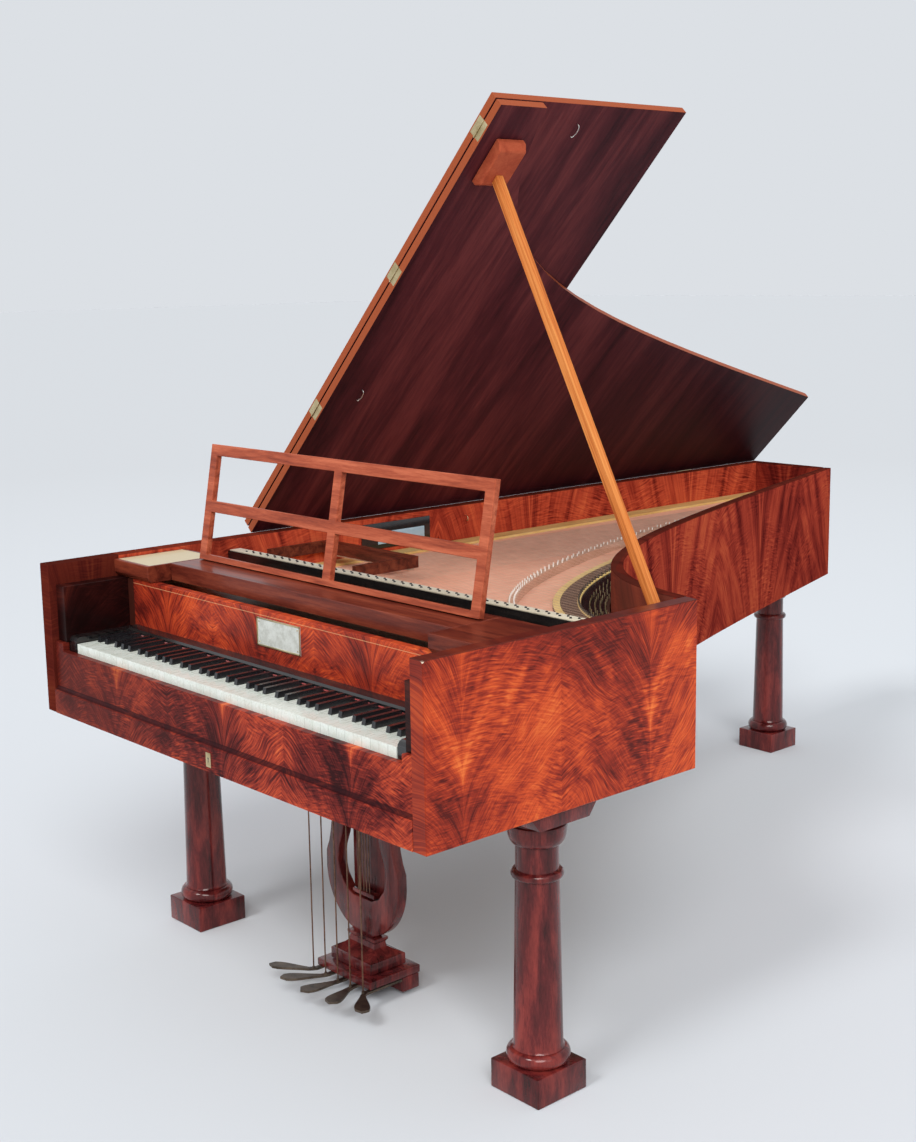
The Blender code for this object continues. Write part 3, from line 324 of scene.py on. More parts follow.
def bass_end_painted_shade(tree, colour):
    """Front veneer with painted shade that darkens it towards the bass, and a dark band at the lock rail's top ledge,
    partly the moulding's dark line and partly painted shadow under it.
    """
    x, _, _ = axes_of(tree)
    # Painted shade: the front veneer darkens towards the bass.
    fade = add(tree, "ShaderNodeMapRange", {"From Min": -0.55, "From Max": 0.15, "To Min": 0.66, "To Max": 0.0})
    join(tree, x, fade.inputs["Value"])
    colour = mix_colour(tree, fade.outputs["Result"], colour, (0.075, 0.010, 0.006))
    # Dark band at the top ledge: the moulding's dark line with painted shadow under the ledge.
    ledge = math_node(tree, "MULTIPLY", band(tree, axes_of(tree)[2], LEDGE_TOP - 0.0072, LEDGE_TOP + 0.0004), 0.78)
    return mix_colour(tree, ledge, colour, (0.022, 0.006, 0.008))


def spine_end_painted_shade(tree, colour):
    """Spine veneer, darkened with painted shade at the end that frames the key well."""
    _, y, _ = axes_of(tree)
    # Painted shade of the key well on the spine's front end.
    near = math_node(tree, "LESS_THAN", y, at(0.170))
    return mix_colour(tree, math_node(tree, "MULTIPLY", near, 0.86), colour, (0.040, 0.007, 0.006))


def dull_inside(tree, colour):
    """Browner bentside on the side that faces the strings."""
    coordinates = add(tree, "ShaderNodeTexCoord")
    split = add(tree, "ShaderNodeSeparateXYZ")
    join(tree, coordinates.outputs["Normal"], split.inputs["Vector"])
    inside = math_node(tree, "LESS_THAN", split.outputs["X"], -0.05)
    return mix_colour(tree, math_node(tree, "MULTIPLY", inside, 0.62), colour, (0.150, 0.052, 0.034))


def plain_under_strings(tree, colour):
    """Moulding that is pale by the spine and brown under the treble strings."""
    x, _, _ = axes_of(tree)
    beyond = math_node(tree, "GREATER_THAN", x, 0.052 - INNER)
    return mix_colour(tree, beyond, colour, (0.085, 0.040, 0.028))


def stringing(tree, colour):
    """Light inlaid line along the nameboard's top, and dark ends."""
    x, _, z = axes_of(tree)
    line = band(tree, z, 0.8098, 0.8112)
    colour = mix_colour(tree, math_node(tree, "MULTIPLY", line, 0.55), colour, (0.80, 0.42, 0.20))
    ends = math_node(tree, "GREATER_THAN", math_node(tree, "ABSOLUTE", x), 0.530)
    return mix_colour(tree, ends, colour, (0.05, 0.012, 0.008))


def lid_edges_and_painted_shade(tree, colour):
    """Lighter solid wood on the lid's narrow edges, and painted shade that darkens the lid towards the tail."""
    coordinates = add(tree, "ShaderNodeTexCoord")
    facing = add(tree, "ShaderNodeVectorMath", operation="DOT_PRODUCT")
    join(tree, coordinates.outputs["Normal"], facing.inputs[0])
    facing.inputs[1].default_value = (-math.sin(LID_ANGLE), 0.0, math.cos(LID_ANGLE))
    flat = math_node(tree, "ABSOLUTE", facing.outputs["Value"])
    edge = math_node(tree, "LESS_THAN", flat, 0.6)
    _, y, _ = axes_of(tree)
    # Painted shade: the lid grows darker towards the tail.
    fade = add(tree, "ShaderNodeMapRange", {"From Min": at(0.9), "From Max": at(2.3), "To Min": 0.0, "To Max": 0.80})
    join(tree, y, fade.inputs["Value"])
    colour = mix_colour(tree, fade.outputs["Result"], colour, (0.010, 0.004, 0.006))
    return mix_colour(tree, edge, colour, (0.36, 0.085, 0.034))


def block_top(tree, colour):
    """Pale cloth top of the bass candle block."""
    coordinates = add(tree, "ShaderNodeTexCoord")
    split = add(tree, "ShaderNodeSeparateXYZ")
    join(tree, coordinates.outputs["Normal"], split.inputs["Vector"])
    up = math_node(tree, "GREATER_THAN", split.outputs["Z"], 0.9)
    x, y, _ = axes_of(tree)
    inside = math_node(tree, "MULTIPLY", band(tree, x, -0.581, -0.455),
                       band(tree, y, at(0.166), at(0.327)))
    return mix_colour(tree, math_node(tree, "MULTIPLY", up, inside), colour, (0.62, 0.52, 0.33))


def key_finish():
    """Bone-covered naturals and ebony sharps, told apart by height and depth."""
    made, tree, shader = start("bone_and_ebony", 0.26, coat=0.35)
    x, y, z = axes_of(tree)
    number = math_node(tree, "FLOOR", math_node(tree, "DIVIDE", x, NATURAL_PITCH))
    tint = add(tree, "ShaderNodeTexWhiteNoise", noise_dimensions="1D")
    join(tree, number, tint.inputs["W"])
    bone = ramp(tree, tint.outputs["Value"], [(0.0, (0.74, 0.79, 0.72)), (0.5, (0.80, 0.85, 0.79)),
                                              (1.0, (0.77, 0.83, 0.76))])
    clouds = noise(tree, object_place(tree, (40, 12, 40)), 3.0, 4.0)
    stain = ramp(tree, clouds, [(0.30, (0.94, 0.94, 0.90)), (0.60, (1, 1, 1))])
    bone = mix_colour(tree, 0.8, bone, stain, "MULTIPLY")
    joint = band(tree, y, HEAD_END - 0.0005, HEAD_END)
    bone = mix_colour(tree, joint, bone, (0.20, 0.20, 0.17))
    lever = math_node(tree, "MULTIPLY", math_node(tree, "LESS_THAN", z, KEY_TOP - 0.004),
                      math_node(tree, "GREATER_THAN", y, HEAD_END - 0.030))
    bone = mix_colour(tree, lever, bone, (0.42, 0.30, 0.16))
    raised = math_node(tree, "GREATER_THAN", z, KEY_TOP + 0.0003)
    colour = mix_colour(tree, raised, bone, (0.010, 0.010, 0.012))
    join(tree, colour, shader.inputs["Base Color"])
    rough(tree, shader, clouds, 0.20, 0.36)
    bump(tree, shader, clouds, 0.05, 0.0003)
    return made


def ebony(name, roughness=0.22):
    made, tree, shader = start(name, roughness, coat=0.5)
    grain = noise(tree, object_place(tree, (6, 60, 60)), 2.0, 4.0)
    colour = ramp(tree, grain, [(0.35, (0.005, 0.005, 0.006)), (0.70, (0.020, 0.017, 0.016))])
    join(tree, colour, shader.inputs["Base Color"])
    rough(tree, shader, grain, roughness * 0.8, roughness * 1.4)
    bump(tree, shader, grain, 0.05, 0.0003)
    return made


def metal(name, dark, light, low, high, scale=18.0):
    """Old metal with a patina that wanders between two shades."""
    made, tree, shader = start(name, low, metallic=1.0)
    vector = object_place(tree)
    patina = noise(tree, vector, scale, 6.0, 0.65)
    join(tree, ramp(tree, patina, [(0.34, dark), (0.64, light)]), shader.inputs["Base Color"])
    rough(tree, shader, patina, low, high)
    bump(tree, shader, noise(tree, vector, scale * 12.0, 3.0), 0.10, 0.0003)
    return made


def cloth(name, dark, light):
    made, tree, shader = start(name, 0.9)
    shader.inputs["Sheen Weight"].default_value = 0.4
    fibres = noise(tree, object_place(tree), 700.0, 3.0, 0.7)
    join(tree, ramp(tree, fibres, [(0.30, dark), (0.70, light)]), shader.inputs["Base Color"])
    bump(tree, shader, fibres, 0.5, 0.0006)
    return made


def silvered():
    """Pale bare face of the name plate."""
    made, tree, shader = start("silvered_face", 0.35, metallic=0.35)
    stains = noise(tree, object_place(tree), 55.0, 5.0, 0.7)
    join(tree, ramp(tree, stains, [(0.30, (0.50, 0.50, 0.44)), (0.60, (0.74, 0.75, 0.70))]),
         shader.inputs["Base Color"])
    rough(tree, shader, stains, 0.28, 0.45)
    return made


def string_metal():
    """Brass strings in the bass and iron ones above."""
    made, tree, shader = start("string_wire", 0.42, metallic=0.7)
    x, _, _ = axes_of(tree)
    wander = noise(tree, object_place(tree), 30.0)
    bass = math_node(tree, "LESS_THAN", x, -0.44)
    colour = mix_colour(tree, bass, (0.92, 0.68, 0.54), (0.72, 0.52, 0.26))
    colour = mix_colour(tree, 0.35, colour, ramp(tree, wander, [(0.3, (0.4, 0.36, 0.3)), (0.7, (1, 1, 1))]),
                        "MULTIPLY")
    join(tree, colour, shader.inputs["Base Color"])
    return made


def pane_glass():
    made, tree, shader = start("pale_pane", 0.12, coat=0.6)
    drift = noise(tree, object_place(tree, (1, 5, 5)), 3.0)
    join(tree, ramp(tree, drift, [(0.3, (0.36, 0.58, 0.72)), (0.7, (0.52, 0.72, 0.82))]),
         shader.inputs["Base Color"])
    return made


WARM = (DARK_RED, DEEP_RED, ORANGE_RED, ORANGE)
REDDER = ((0.080, 0.009, 0.008), (0.210, 0.023, 0.016), (0.360, 0.048, 0.026), (0.520, 0.100, 0.040))
PATCHY = ((0.030, 0.005, 0.006), (0.150, 0.017, 0.014), (0.450, 0.058, 0.026), (0.820, 0.190, 0.052))
BRIGHTER = ((0.160, 0.018, 0.012), (0.380, 0.046, 0.024), (0.600, 0.090, 0.040), (0.760, 0.160, 0.060))
DARKER = ((0.006, 0.002, 0.002), (0.014, 0.003, 0.003), (0.034, 0.006, 0.005), (0.080, 0.014, 0.008))

finishes = {
    "cheek": flame_veneer("cheek_veneer", "Y", 0.226, at(0.080), 0.50, WARM, mask=worn_corner),
    "bentside": flame_veneer("bentside_veneer", "Y", 0.300, at(0.66), 0.48, REDDER, 0.0, dull_inside, 1.7),
    "spine": flame_veneer("spine_veneer", "Y", 0.330, at(0.10), 0.46, BRIGHTER, 0.0, spine_end_painted_shade, 2.6),
    "tail": flame_veneer("tail_veneer", "X", 0.150, -0.48, 0.48, REDDER, 0.0, rise=1.7),
    "front": flame_veneer("front_veneer", "X", 0.190, 0.04, 0.50, PATCHY, 0.05, bass_end_painted_shade),
    "nameboard": flame_veneer("nameboard_veneer", "X", 0.170, -0.06, 0.66, WARM, mask=stringing),
    # Key-well arms: their dark red lining, darkened further with painted shade of the key well.
    "arm": flame_veneer("arm_veneer", "Y", 0.160, at(0.02), 0.62, DARKER),
    "block": grained("block_wood", ((0.050, 0.008, 0.006), (0.130, 0.022, 0.012), (0.220, 0.042, 0.020)),
                     (2, 18, 18), mask=block_top),
    "lid": grained("lid_veneer", ((0.030, 0.007, 0.011), (0.084, 0.017, 0.022), (0.165, 0.036, 0.038)),
                   (0.8, 8.0, 8.0), (0.0, LID_ANGLE, 0.0), 1.5, (0.34, 0.50), 0.0, lid_edges_and_painted_shade, gloss=0.04),
    "turned": grained("polished_mahogany", ((0.020, 0.003, 0.004), (0.095, 0.011, 0.012), (0.220, 0.030, 0.024)),
                      (11, 11, 2.2), size=3.0, roughness=(0.16, 0.28), coat=1.3, relief=0.05),
    "desk": grained("desk_mahogany", ((0.190, 0.034, 0.018), (0.380, 0.078, 0.036), (0.560, 0.145, 0.070)),
                    (2.2, 26, 26), size=2.4, roughness=(0.32, 0.46), coat=0.25),
    "pad": grained("pad_mahogany", ((0.300, 0.050, 0.024), (0.430, 0.082, 0.038), (0.520, 0.115, 0.052)),
                   (14, 14, 14), size=2.0, roughness=(0.40, 0.52), coat=0.0, gloss=0.05),
    "shelf": grained("shelf_mahogany", ((0.060, 0.009, 0.006), (0.150, 0.026, 0.014), (0.250, 0.052, 0.025)),
                     (1.6, 20, 20), size=2.4, roughness=(0.28, 0.40), coat=0.5),
    "prop": grained("prop_pearwood", ((0.36, 0.080, 0.018), (0.64, 0.19, 0.042), (0.78, 0.31, 0.085)),
                    (60, 60, 1.2), (0.0, PROP_LEAN, 0.0), 2.6, (0.40, 0.55), 0.15),
    "soundboard": grained("spruce", ((0.84, 0.40, 0.27), (0.94, 0.49, 0.34), (0.98, 0.57, 0.42)),
                          (34, 1.4, 34), (0.0, 0.0, 0.12), 3.2, (0.45, 0.60), 0.1),
    "moulding": grained("pale_moulding", ((0.60, 0.37, 0.13), (0.74, 0.50, 0.18), (0.82, 0.60, 0.26)),
                        (12, 2, 12), size=3.0, roughness=(0.40, 0.55), coat=0.1, mask=plain_under_strings),
    "pale_strip": grained("pale_strip", ((0.86, 0.58, 0.18), (0.97, 0.76, 0.32)), (12, 12, 12), coat=0.0),
    "bridge": grained("bridge_beech", ((0.52, 0.28, 0.18), (0.70, 0.42, 0.29)), (12, 3, 12)),
    "inner": grained("plain_oak", ((0.22, 0.13, 0.07), (0.34, 0.21, 0.12)), (3, 20, 20), coat=0.0),
    "bassoon": grained("bassoon_wood", ((0.030, 0.008, 0.006), (0.110, 0.024, 0.014), (0.200, 0.050, 0.025)),
                       (3, 20, 20)),
    "keys": key_finish(),
    "ebony": ebony("polished_ebony"),
    "brass": metal("old_brass", (0.42, 0.32, 0.15), (0.74, 0.62, 0.38), 0.30, 0.48),
    "bronze": metal("pedal_bronze", (0.060, 0.045, 0.036), (0.190, 0.145, 0.110), 0.34, 0.56, 40.0),
    "copper": metal("rod_copper", (0.110, 0.055, 0.035), (0.260, 0.140, 0.090), 0.36, 0.52, 60.0),
    "pin": metal("bright_pin", (0.55, 0.54, 0.50), (0.86, 0.84, 0.80), 0.34, 0.50, 90.0),
    # Bridge pins: a flat pale white that paints in their glints.
    "white_pin": cloth("pin_painted_glint", (0.78, 0.74, 0.68), (0.96, 0.94, 0.90)),
    "iron": metal("pin_iron", (0.10, 0.10, 0.11), (0.32, 0.31, 0.30), 0.30, 0.48, 90.0),
    "silvered": silvered(),
    "wire": string_metal(),
    "red_cloth": cloth("red_cloth", (0.22, 0.010, 0.012), (0.42, 0.030, 0.030)),
    "cream_cloth": cloth("cream_cloth", (0.52, 0.44, 0.30), (0.74, 0.67, 0.50)),
    "parchment": cloth("parchment", (0.60, 0.56, 0.46), (0.76, 0.73, 0.62)),
    "pane": pane_glass(),
}

CARRIED_OVER = {
    "cheek": ("cheek",),
    "spine": ("spine",),
    "tail": ("tail_wall",),
    "front": ("lock_rail", "key_slip"),
    "nameboard": ("nameboard",),
    "arm": ("arm_bass", "arm_treble"),
    "block": ("candle_block_bass", "candle_block_treble"),
    "lid": ("lid_main", "lid_flap"),
    "turned": ("lyre_back",),
    "desk": ("desk_frame",),
    "pad": ("prop_pad",),
    "shelf": ("desk_shelf",),
    "prop": ("prop_stick",),
    "soundboard": ("soundboard",),
    "moulding": ("soundboard_moulding",),
    "bridge": ("bridge",),
    "inner": ("bottom_board", "wrest_plank", "belly_rail", "key_frame"),
    "bassoon": ("bassoon_stop",),
    "ebony": ("key_block_bass", "key_block_treble", "nameboard_batten", "damper_rail"),
    "brass": ("lock_plate",),
    "silvered": ("name_plate",),
    "bronze": tuple(name for name in nodes if name.startswith("pedal_")),
    "copper": tuple(name for name in nodes if name.startswith("rod_")),
    "keys": tuple(name for name in nodes if name.startswith(("key_", "keys_"))
                  and name not in ("key_slip", "key_frame", "key_block_bass", "key_block_treble")),
}


def dress_carried_nodes():
    for finish, names in CARRIED_OVER.items():
        for name in names:
            for place in nodes[name].material_slots:
                place.material = finishes[finish]


# Mesh helpers

def piece(name, shape, finish, body, smooth_angle=35.0):
    """Finished piece that rides on a body and takes its finish from a slot."""
    mesh = bpy.data.meshes.new(name)
    shape.to_mesh(mesh)
    shape.free()
    mesh.materials.append(finishes[finish])
    mesh.shade_smooth()
    mesh.set_sharp_from_angle(angle=math.radians(smooth_angle))
    item = bpy.data.objects.new(name, mesh)
    bpy.context.scene.collection.objects.link(item)
    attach(item, body)
    return item


def grow(shape, verts, way):
    """Extrudes the face through verts and closes the prism."""
    base = shape.faces.new(verts)
    grown = bmesh.ops.extrude_face_region(shape, geom=[base])
    moved = [part for part in grown["geom"] if isinstance(part, bmesh.types.BMVert)]
    bmesh.ops.translate(shape, vec=way, verts=moved)
    bmesh.ops.recalc_face_normals(shape, faces=shape.faces)
    return shape


def soften_edges(shape, width, segments=2, angle=40.0):
    sharp = [edge for edge in shape.edges if edge.calc_face_angle(0.0) > math.radians(angle)]
    bmesh.ops.bevel(shape, geom=sharp, offset=width, segments=segments, affect="EDGES",
                    profile=0.5, material=-1, clamp_overlap=True)
    return shape


def bar(size, centre, width=0.0):
    """Box of a size about a centre, with its edges rounded by a width."""
    shape = bmesh.new()
    bmesh.ops.create_cube(shape, size=1.0)
    bmesh.ops.scale(shape, vec=size, verts=shape.verts)
    if width:
        soften_edges(shape, width)
    bmesh.ops.translate(shape, vec=centre, verts=shape.verts)
    return shape


def rod(radius, length, centre, turn=None, sides=10, top_radius=None):
    """Capped cylinder or cone along Z, turned by an Euler and moved to a centre."""
    shape = bmesh.new()
    bmesh.ops.create_cone(shape, cap_ends=True, segments=sides, radius1=radius,
                          radius2=radius if top_radius is None else top_radius, depth=length)
    if turn:
        bmesh.ops.rotate(shape, cent=(0, 0, 0), matrix=Euler(turn).to_matrix(), verts=shape.verts)
    bmesh.ops.translate(shape, vec=centre, verts=shape.verts)
    return shape


def gather(shapes):
    """One bmesh of several."""
    whole = bmesh.new()
    for shape in shapes:
        spare = bpy.data.meshes.new("spare")
        shape.to_mesh(spare)
        shape.free()
        whole.from_mesh(spare)
        bpy.data.meshes.remove(spare)
    return whole


def raise_with_lid(shape):
    """Turns a shape built on the closed lid up to the open one."""
    bmesh.ops.rotate(shape, cent=HINGE, matrix=Matrix.Rotation(-LID_ANGLE, 3, "Y"), verts=shape.verts)
    return shape


def spun(profile, steps):
    """Turned shape of a profile of (radius, height)."""
    shape = bmesh.new()
    verts = [shape.verts.new((radius, 0.0, height)) for radius, height in profile]
    edges = [shape.edges.new(pair) for pair in zip(verts, verts[1:])]
    bmesh.ops.spin(shape, geom=verts + edges, cent=(0, 0, 0), axis=(0, 0, 1), angle=math.tau,
                   steps=steps, use_merge=True)
    bmesh.ops.remove_doubles(shape, verts=shape.verts, dist=1e-6)
    bmesh.ops.recalc_face_normals(shape, faces=shape.faces)
    return shape


def wire(name, points, radius, finish, body):
    """Bent wire through points, made a mesh."""
    curve = bpy.data.curves.new(name, "CURVE")
    curve.dimensions = "3D"
    curve.bevel_depth = radius
    curve.bevel_resolution = 3
    curve.use_fill_caps = True
    spline = curve.splines.new("NURBS")
    spline.points.add(len(points) - 1)
    for knot, point in zip(spline.points, points):
        knot.co = (*point, 1.0)
    spline.use_endpoint_u = True
    spline.order_u = 3
    draft = bpy.data.objects.new(name, curve)
    bpy.context.scene.collection.objects.link(draft)
    shape = bmesh.new()
    shape.from_mesh(bpy.data.meshes.new_from_object(
        draft.evaluated_get(bpy.context.evaluated_depsgraph_get())))
    bpy.data.objects.remove(draft, do_unlink=True)
    bmesh.ops.recalc_face_normals(shape, faces=shape.faces)
    return piece(name, shape, finish, body, 60.0)


# Case

def bentside_curve(steps):
    start_point = Vector((HALF, CHEEK_LENGTH, 0.0))
    end = Vector((-HALF + TAIL_WIDTH, CASE_LENGTH, 0.0))
    near = start_point + Vector((-BENT_CHEEK_PULL[0], BENT_CHEEK_PULL[1], 0.0))
    far = end + Vector((BENT_TAIL_PULL[0], -BENT_TAIL_PULL[1], 0.0))
    return [point.xy for point in interpolate_bezier(start_point, near, far, end, steps + 1)]


def make_bentside():
    """Curved wall, with more steps than its solid so that its polish runs smoothly."""
    line = bentside_curve(BENT_STEPS)
    outer, inner = [], []
    for i, point in enumerate(line):
        along = (line[min(i + 1, BENT_STEPS)] - line[max(i - 1, 0)]).normalized()
        side = Vector((-along.y, along.x))
        outer.append(point)
        inner.append(point + (side if side.x < 0 else -side) * BENT_WALL)
    limit = INNER - 0.0003
    outer = [p for p in outer if p.x <= limit]
    inner = [p for p in inner if p.x <= limit and p.y <= CASE_LENGTH]
    shape = bmesh.new()
    band_line = outer + list(reversed(inner))
    verts = [shape.verts.new((p.x, at(p.y), CASE_BOTTOM)) for p in band_line]
    grow(shape, verts, (0, 0, CASE_TOP - CASE_BOTTOM))
    soften_edges(shape, 0.0012, 2, 50.0)
    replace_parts(piece("bentside_wall", shape, "bentside", "case"), "bentside")



def half_round(radius, low, reach, height, steps=10):
    angles = [math.pi * i / steps - math.pi / 2 for i in range(steps + 1)]
    return [(radius + reach * math.cos(a), low + height / 2 + height / 2 * math.sin(a)) for a in angles]


def leg_profile(top):
    """Turned column: torus at its foot, neck ring, and a flaring capital."""
    plinth = 0.056
    neck = 0.0392
    flare = top - 0.050
    ring = 0.412
    profile = [(0.0, plinth - 0.001), (0.0468, plinth - 0.001)]
    profile += half_round(0.0468, plinth, 0.012, 0.028)
    profile += [(0.0483, 0.085), (0.0470, 0.087), (0.0453, 0.091), (neck + 0.0008, ring - 0.0085)]
    profile += half_round(neck + 0.0015, ring - 0.0080, 0.0073, 0.016)
    profile += [(neck, ring + 0.0085), (neck, flare)]
    steps = 9
    for step in range(1, steps + 1):
        turn = math.pi / 2 * step / steps
        profile.append((neck + 0.0146 * math.sin(turn), flare + 0.030 * (1 - math.cos(turn))))
    profile += [(0.0545, top - 0.016), (0.0538, top - 0.012), (0.0500, top - 0.010), (0.0500, top + 0.001),
                (0.0, top + 0.001)]
    return profile


def make_legs():
    slab_height = 0.028
    for name in ("leg_bass", "leg_treble", "leg_tail"):
        low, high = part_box(name)
        centre = (low + high) / 2
        slab_low = high.z - slab_height
        column = spun(leg_profile(slab_low), 64)
        foot = bmesh.new()
        bmesh.ops.create_cube(foot, size=1.0)
        bmesh.ops.scale(foot, vec=(0.123, 0.123, 0.056), verts=foot.verts)
        soften_edges(foot, 0.0025, 3)
        bmesh.ops.translate(foot, vec=(0, 0, 0.028), verts=foot.verts)
        half = (high.y - low.y) / 2
        slab = bmesh.new()
        outline = [(-half + 0.021, slab_low), (half - 0.021, slab_low), (half, high.z), (-half, high.z)]
        verts = [slab.verts.new((-(high.x - low.x) / 2, y, z)) for y, z in outline]
        grow(slab, verts, (high.x - low.x, 0, 0))
        soften_edges(slab, 0.0012)
        shape = gather([column, foot, slab])
        bmesh.ops.translate(shape, vec=(centre.x, centre.y, 0.0), verts=shape.verts)
        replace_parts(piece(f"{name}_turned", shape, "turned", "case"), name)


def lyre_half(top, foot, steps=20):
    """Right half of the lyre's outline, from the foot to the case."""
    bowl = [(0.117 * math.sin(a), foot + 0.127 * (1 - math.cos(a)))
            for a in [math.radians(18 + 72 * i / steps) for i in range(steps + 1)]]
    arms = [(0.1165, 0.272), (0.112, 0.283), (0.107, 0.294), (0.101, 0.317), (0.096, 0.347),
            (0.0925, 0.380), (0.092, 0.402), (0.092, top)]
    return [(0.030, foot)] + bowl + arms


def slot_half(top, low):
    """Right half of the lyre's slot, from its foot to its head."""
    knots = [(0.030, 0.0), (0.052, 0.010), (0.070, 0.033), (0.078, 0.062), (0.073, 0.092),
             (0.061, 0.122), (0.053, 0.160), (0.050, 0.200)]
    return [(x, low + z) for x, z in knots] + [(0.050, top - 0.050)]


def make_lyre():
    low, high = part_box("lyre_body")
    middle = 0.365
    thick = 0.024
    foot = 0.1176
    outer = lyre_half(high.z, foot)
    inner = slot_half(high.z, foot + 0.080)
    shape = bmesh.new()
    loops = []
    for half_line in (outer, inner):
        closed = half_line + [(-x, z) for x, z in reversed(half_line)]
        verts = [shape.verts.new((x, at(middle) - thick / 2, z)) for x, z in closed]
        loops.append([shape.edges.new((verts[i], verts[(i + 1) % len(verts)])) for i in range(len(verts))])
    bmesh.ops.triangle_fill(shape, edges=loops[0] + loops[1], use_beauty=True)
    bmesh.ops.dissolve_limit(shape, angle_limit=0.01, verts=shape.verts, edges=shape.edges)
    grown = bmesh.ops.extrude_face_region(shape, geom=shape.faces[:])
    moved = [part for part in grown["geom"] if isinstance(part, bmesh.types.BMVert)]
    bmesh.ops.translate(shape, vec=(0, thick, 0), verts=moved)
    bmesh.ops.recalc_face_normals(shape, faces=shape.faces)
    soften_edges(shape, 0.0022, 3, 60.0)

    bottom = low.z + 0.0303
    tiers = [bar((0.175, 0.132, 0.0165), (0, at(middle), bottom + 0.00825), 0.0022),
             bar((0.132, 0.092, 0.024), (0, at(middle), bottom + 0.030), 0.0022)]
    neck = bmesh.new()
    rings = [(0.0620, 0.042, 0.042), (0.0560, 0.034, 0.0475), (0.0450, 0.024, 0.053), (0.0405, 0.0165, 0.058),
             (0.0400, 0.0145, 0.068), (0.0425, 0.0165, 0.0715), (0.0440, 0.0180, 0.0735), (0.0440, 0.0180, 0.0790)]
    loops = []
    for half_x, half_y, height in rings:
        corners = [(-half_x, -half_y), (half_x, -half_y), (half_x, half_y), (-half_x, half_y)]
        verts = [neck.verts.new((x, y + at(middle), bottom + height)) for x, y in corners]
        loops.append([neck.edges.new((verts[i], verts[(i + 1) % 4])) for i in range(4)])
    for lower, upper in zip(loops, loops[1:]):
        bmesh.ops.bridge_loops(neck, edges=lower + upper)
    for loop in (loops[0], loops[-1]):
        bmesh.ops.contextual_create(neck, geom=loop)
    bmesh.ops.recalc_face_normals(neck, faces=neck.faces)
    hinge_block = bar((0.176, 0.0438, 0.0303), (0, at(0.3832 + 0.0219), low.z + 0.01515), 0.0015)
    whole = gather([shape, neck, hinge_block] + tiers)
    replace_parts(piece("lyre_carved", whole, "turned", "case"), "lyre_body")

    bracket = bar((0.070, 0.018, 0.009), (0, at(middle), foot + 0.0885), 0.0015)
    piece("lyre_bracket", bracket, "turned", "case")
    rail = bar((0.096, 0.016, 0.010), (0, at(middle), high.z - 0.056), 0.0015)
    piece("lyre_head_rail", rail, "turned", "case")
    wires = [rod(0.0011, 0.277, (x, at(middle) - 0.006, foot + 0.0885 + 0.142), sides=8)
             for x in (-0.018, -0.009, 0.0, 0.009, 0.018)]
    piece("lyre_strings", gather(wires), "copper", "case")


# Soundboard, strings and pins

def bridge_line(steps=120):
    knots = [Vector((0.525, 0.570, 0)), Vector((0.195, 0.435, 0)), Vector((-0.166, 0.752, 0)),
             Vector((-0.400, 2.150, 0))]
    return [point.xy for point in interpolate_bezier(*knots, steps + 1)]


def moulding_line(steps=160):
    rear = CASE_LENGTH - 0.0833
    knots = [Vector((INNER, 0.600, 0)), Vector((0.054, 0.552, 0)), Vector((-0.159, 1.123, 0)),
             Vector((-0.360, rear, 0))]
    return [point.xy for point in interpolate_bezier(*knots, steps + 1)]


def depth_on(line, x):
    """Depth at which a line that runs towards the spine passes x."""
    for first, second in zip(line, line[1:]):
        if first.x >= x > second.x:
            return first.y + (second.y - first.y) * (first.x - x) / (first.x - second.x)
    return line[-1].y


def toward_wall(line, share, most):
    """Line moved from the moulding's edge towards the bentside, by a share of the room there."""
    wall = bentside_curve(BENT_STEPS)
    moved = []
    for i, point in enumerate(line):
        along = (line[min(i + 1, len(line) - 1)] - line[max(i - 1, 0)]).normalized()
        room = min((point - other).length for other in wall) - BENT_WALL
        moved.append(point + Vector((along.y, -along.x)) * min(most, share * max(room, 0.0)))
    return moved


def ribbon(name, inner, outer, finish, low, thickness):
    """Flat strip between two lines."""
    shape = bmesh.new()
    verts = [shape.verts.new((p.x, at(p.y), low)) for p in inner + list(reversed(outer))]
    grow(shape, verts, (0, 0, thickness))
    return piece(name, shape, finish, "case")


def make_hitch_rail():
    """Pale edge, dark rail and beaded strip between the bridge and the bentside."""
    edge = [point for point in moulding_line(90) if point.x < INNER - 0.004]
    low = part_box("soundboard_moulding")[1].z + 0.0001
    near, beyond = toward_wall(edge, 0.04, 0.001), toward_wall(edge, 0.34, 0.016)
    ribbon("moulding_edge", near, beyond, "pale_strip", low, 0.0012)
    bead, end = toward_wall(edge, 0.50, 0.052), toward_wall(edge, 0.58, 0.059)
    ribbon("bead_strip", bead, end, "pale_strip", low, 0.0016)
    rail, rest = toward_wall(edge, 0.60, 0.061), toward_wall(edge, 0.93, 0.200)
    curved = [i for i, point in enumerate(edge) if -0.12 < point.x < 0.54]
    ribbon("hitch_rail", [rail[i] for i in curved], [rest[i] for i in curved], "ebony", low, 0.0010)
    dots = []
    for number, share in enumerate((0.64, 0.73, 0.82, 0.91)):
        row = toward_wall([edge[i] for i in curved], share, 0.200)
        for spot in row[number % 2::2]:
            dots.append(rod(0.0013, 0.006, (spot.x, at(spot.y), low + 0.0036), sides=6, top_radius=0.0012))
    piece("rail_pins", gather(dots), "brass", "case")


def string_place(number):
    """Sideways place of a string at the bridge."""
    return -0.392 + (0.505 + 0.392) * number / (STRING_COUNT - 1)


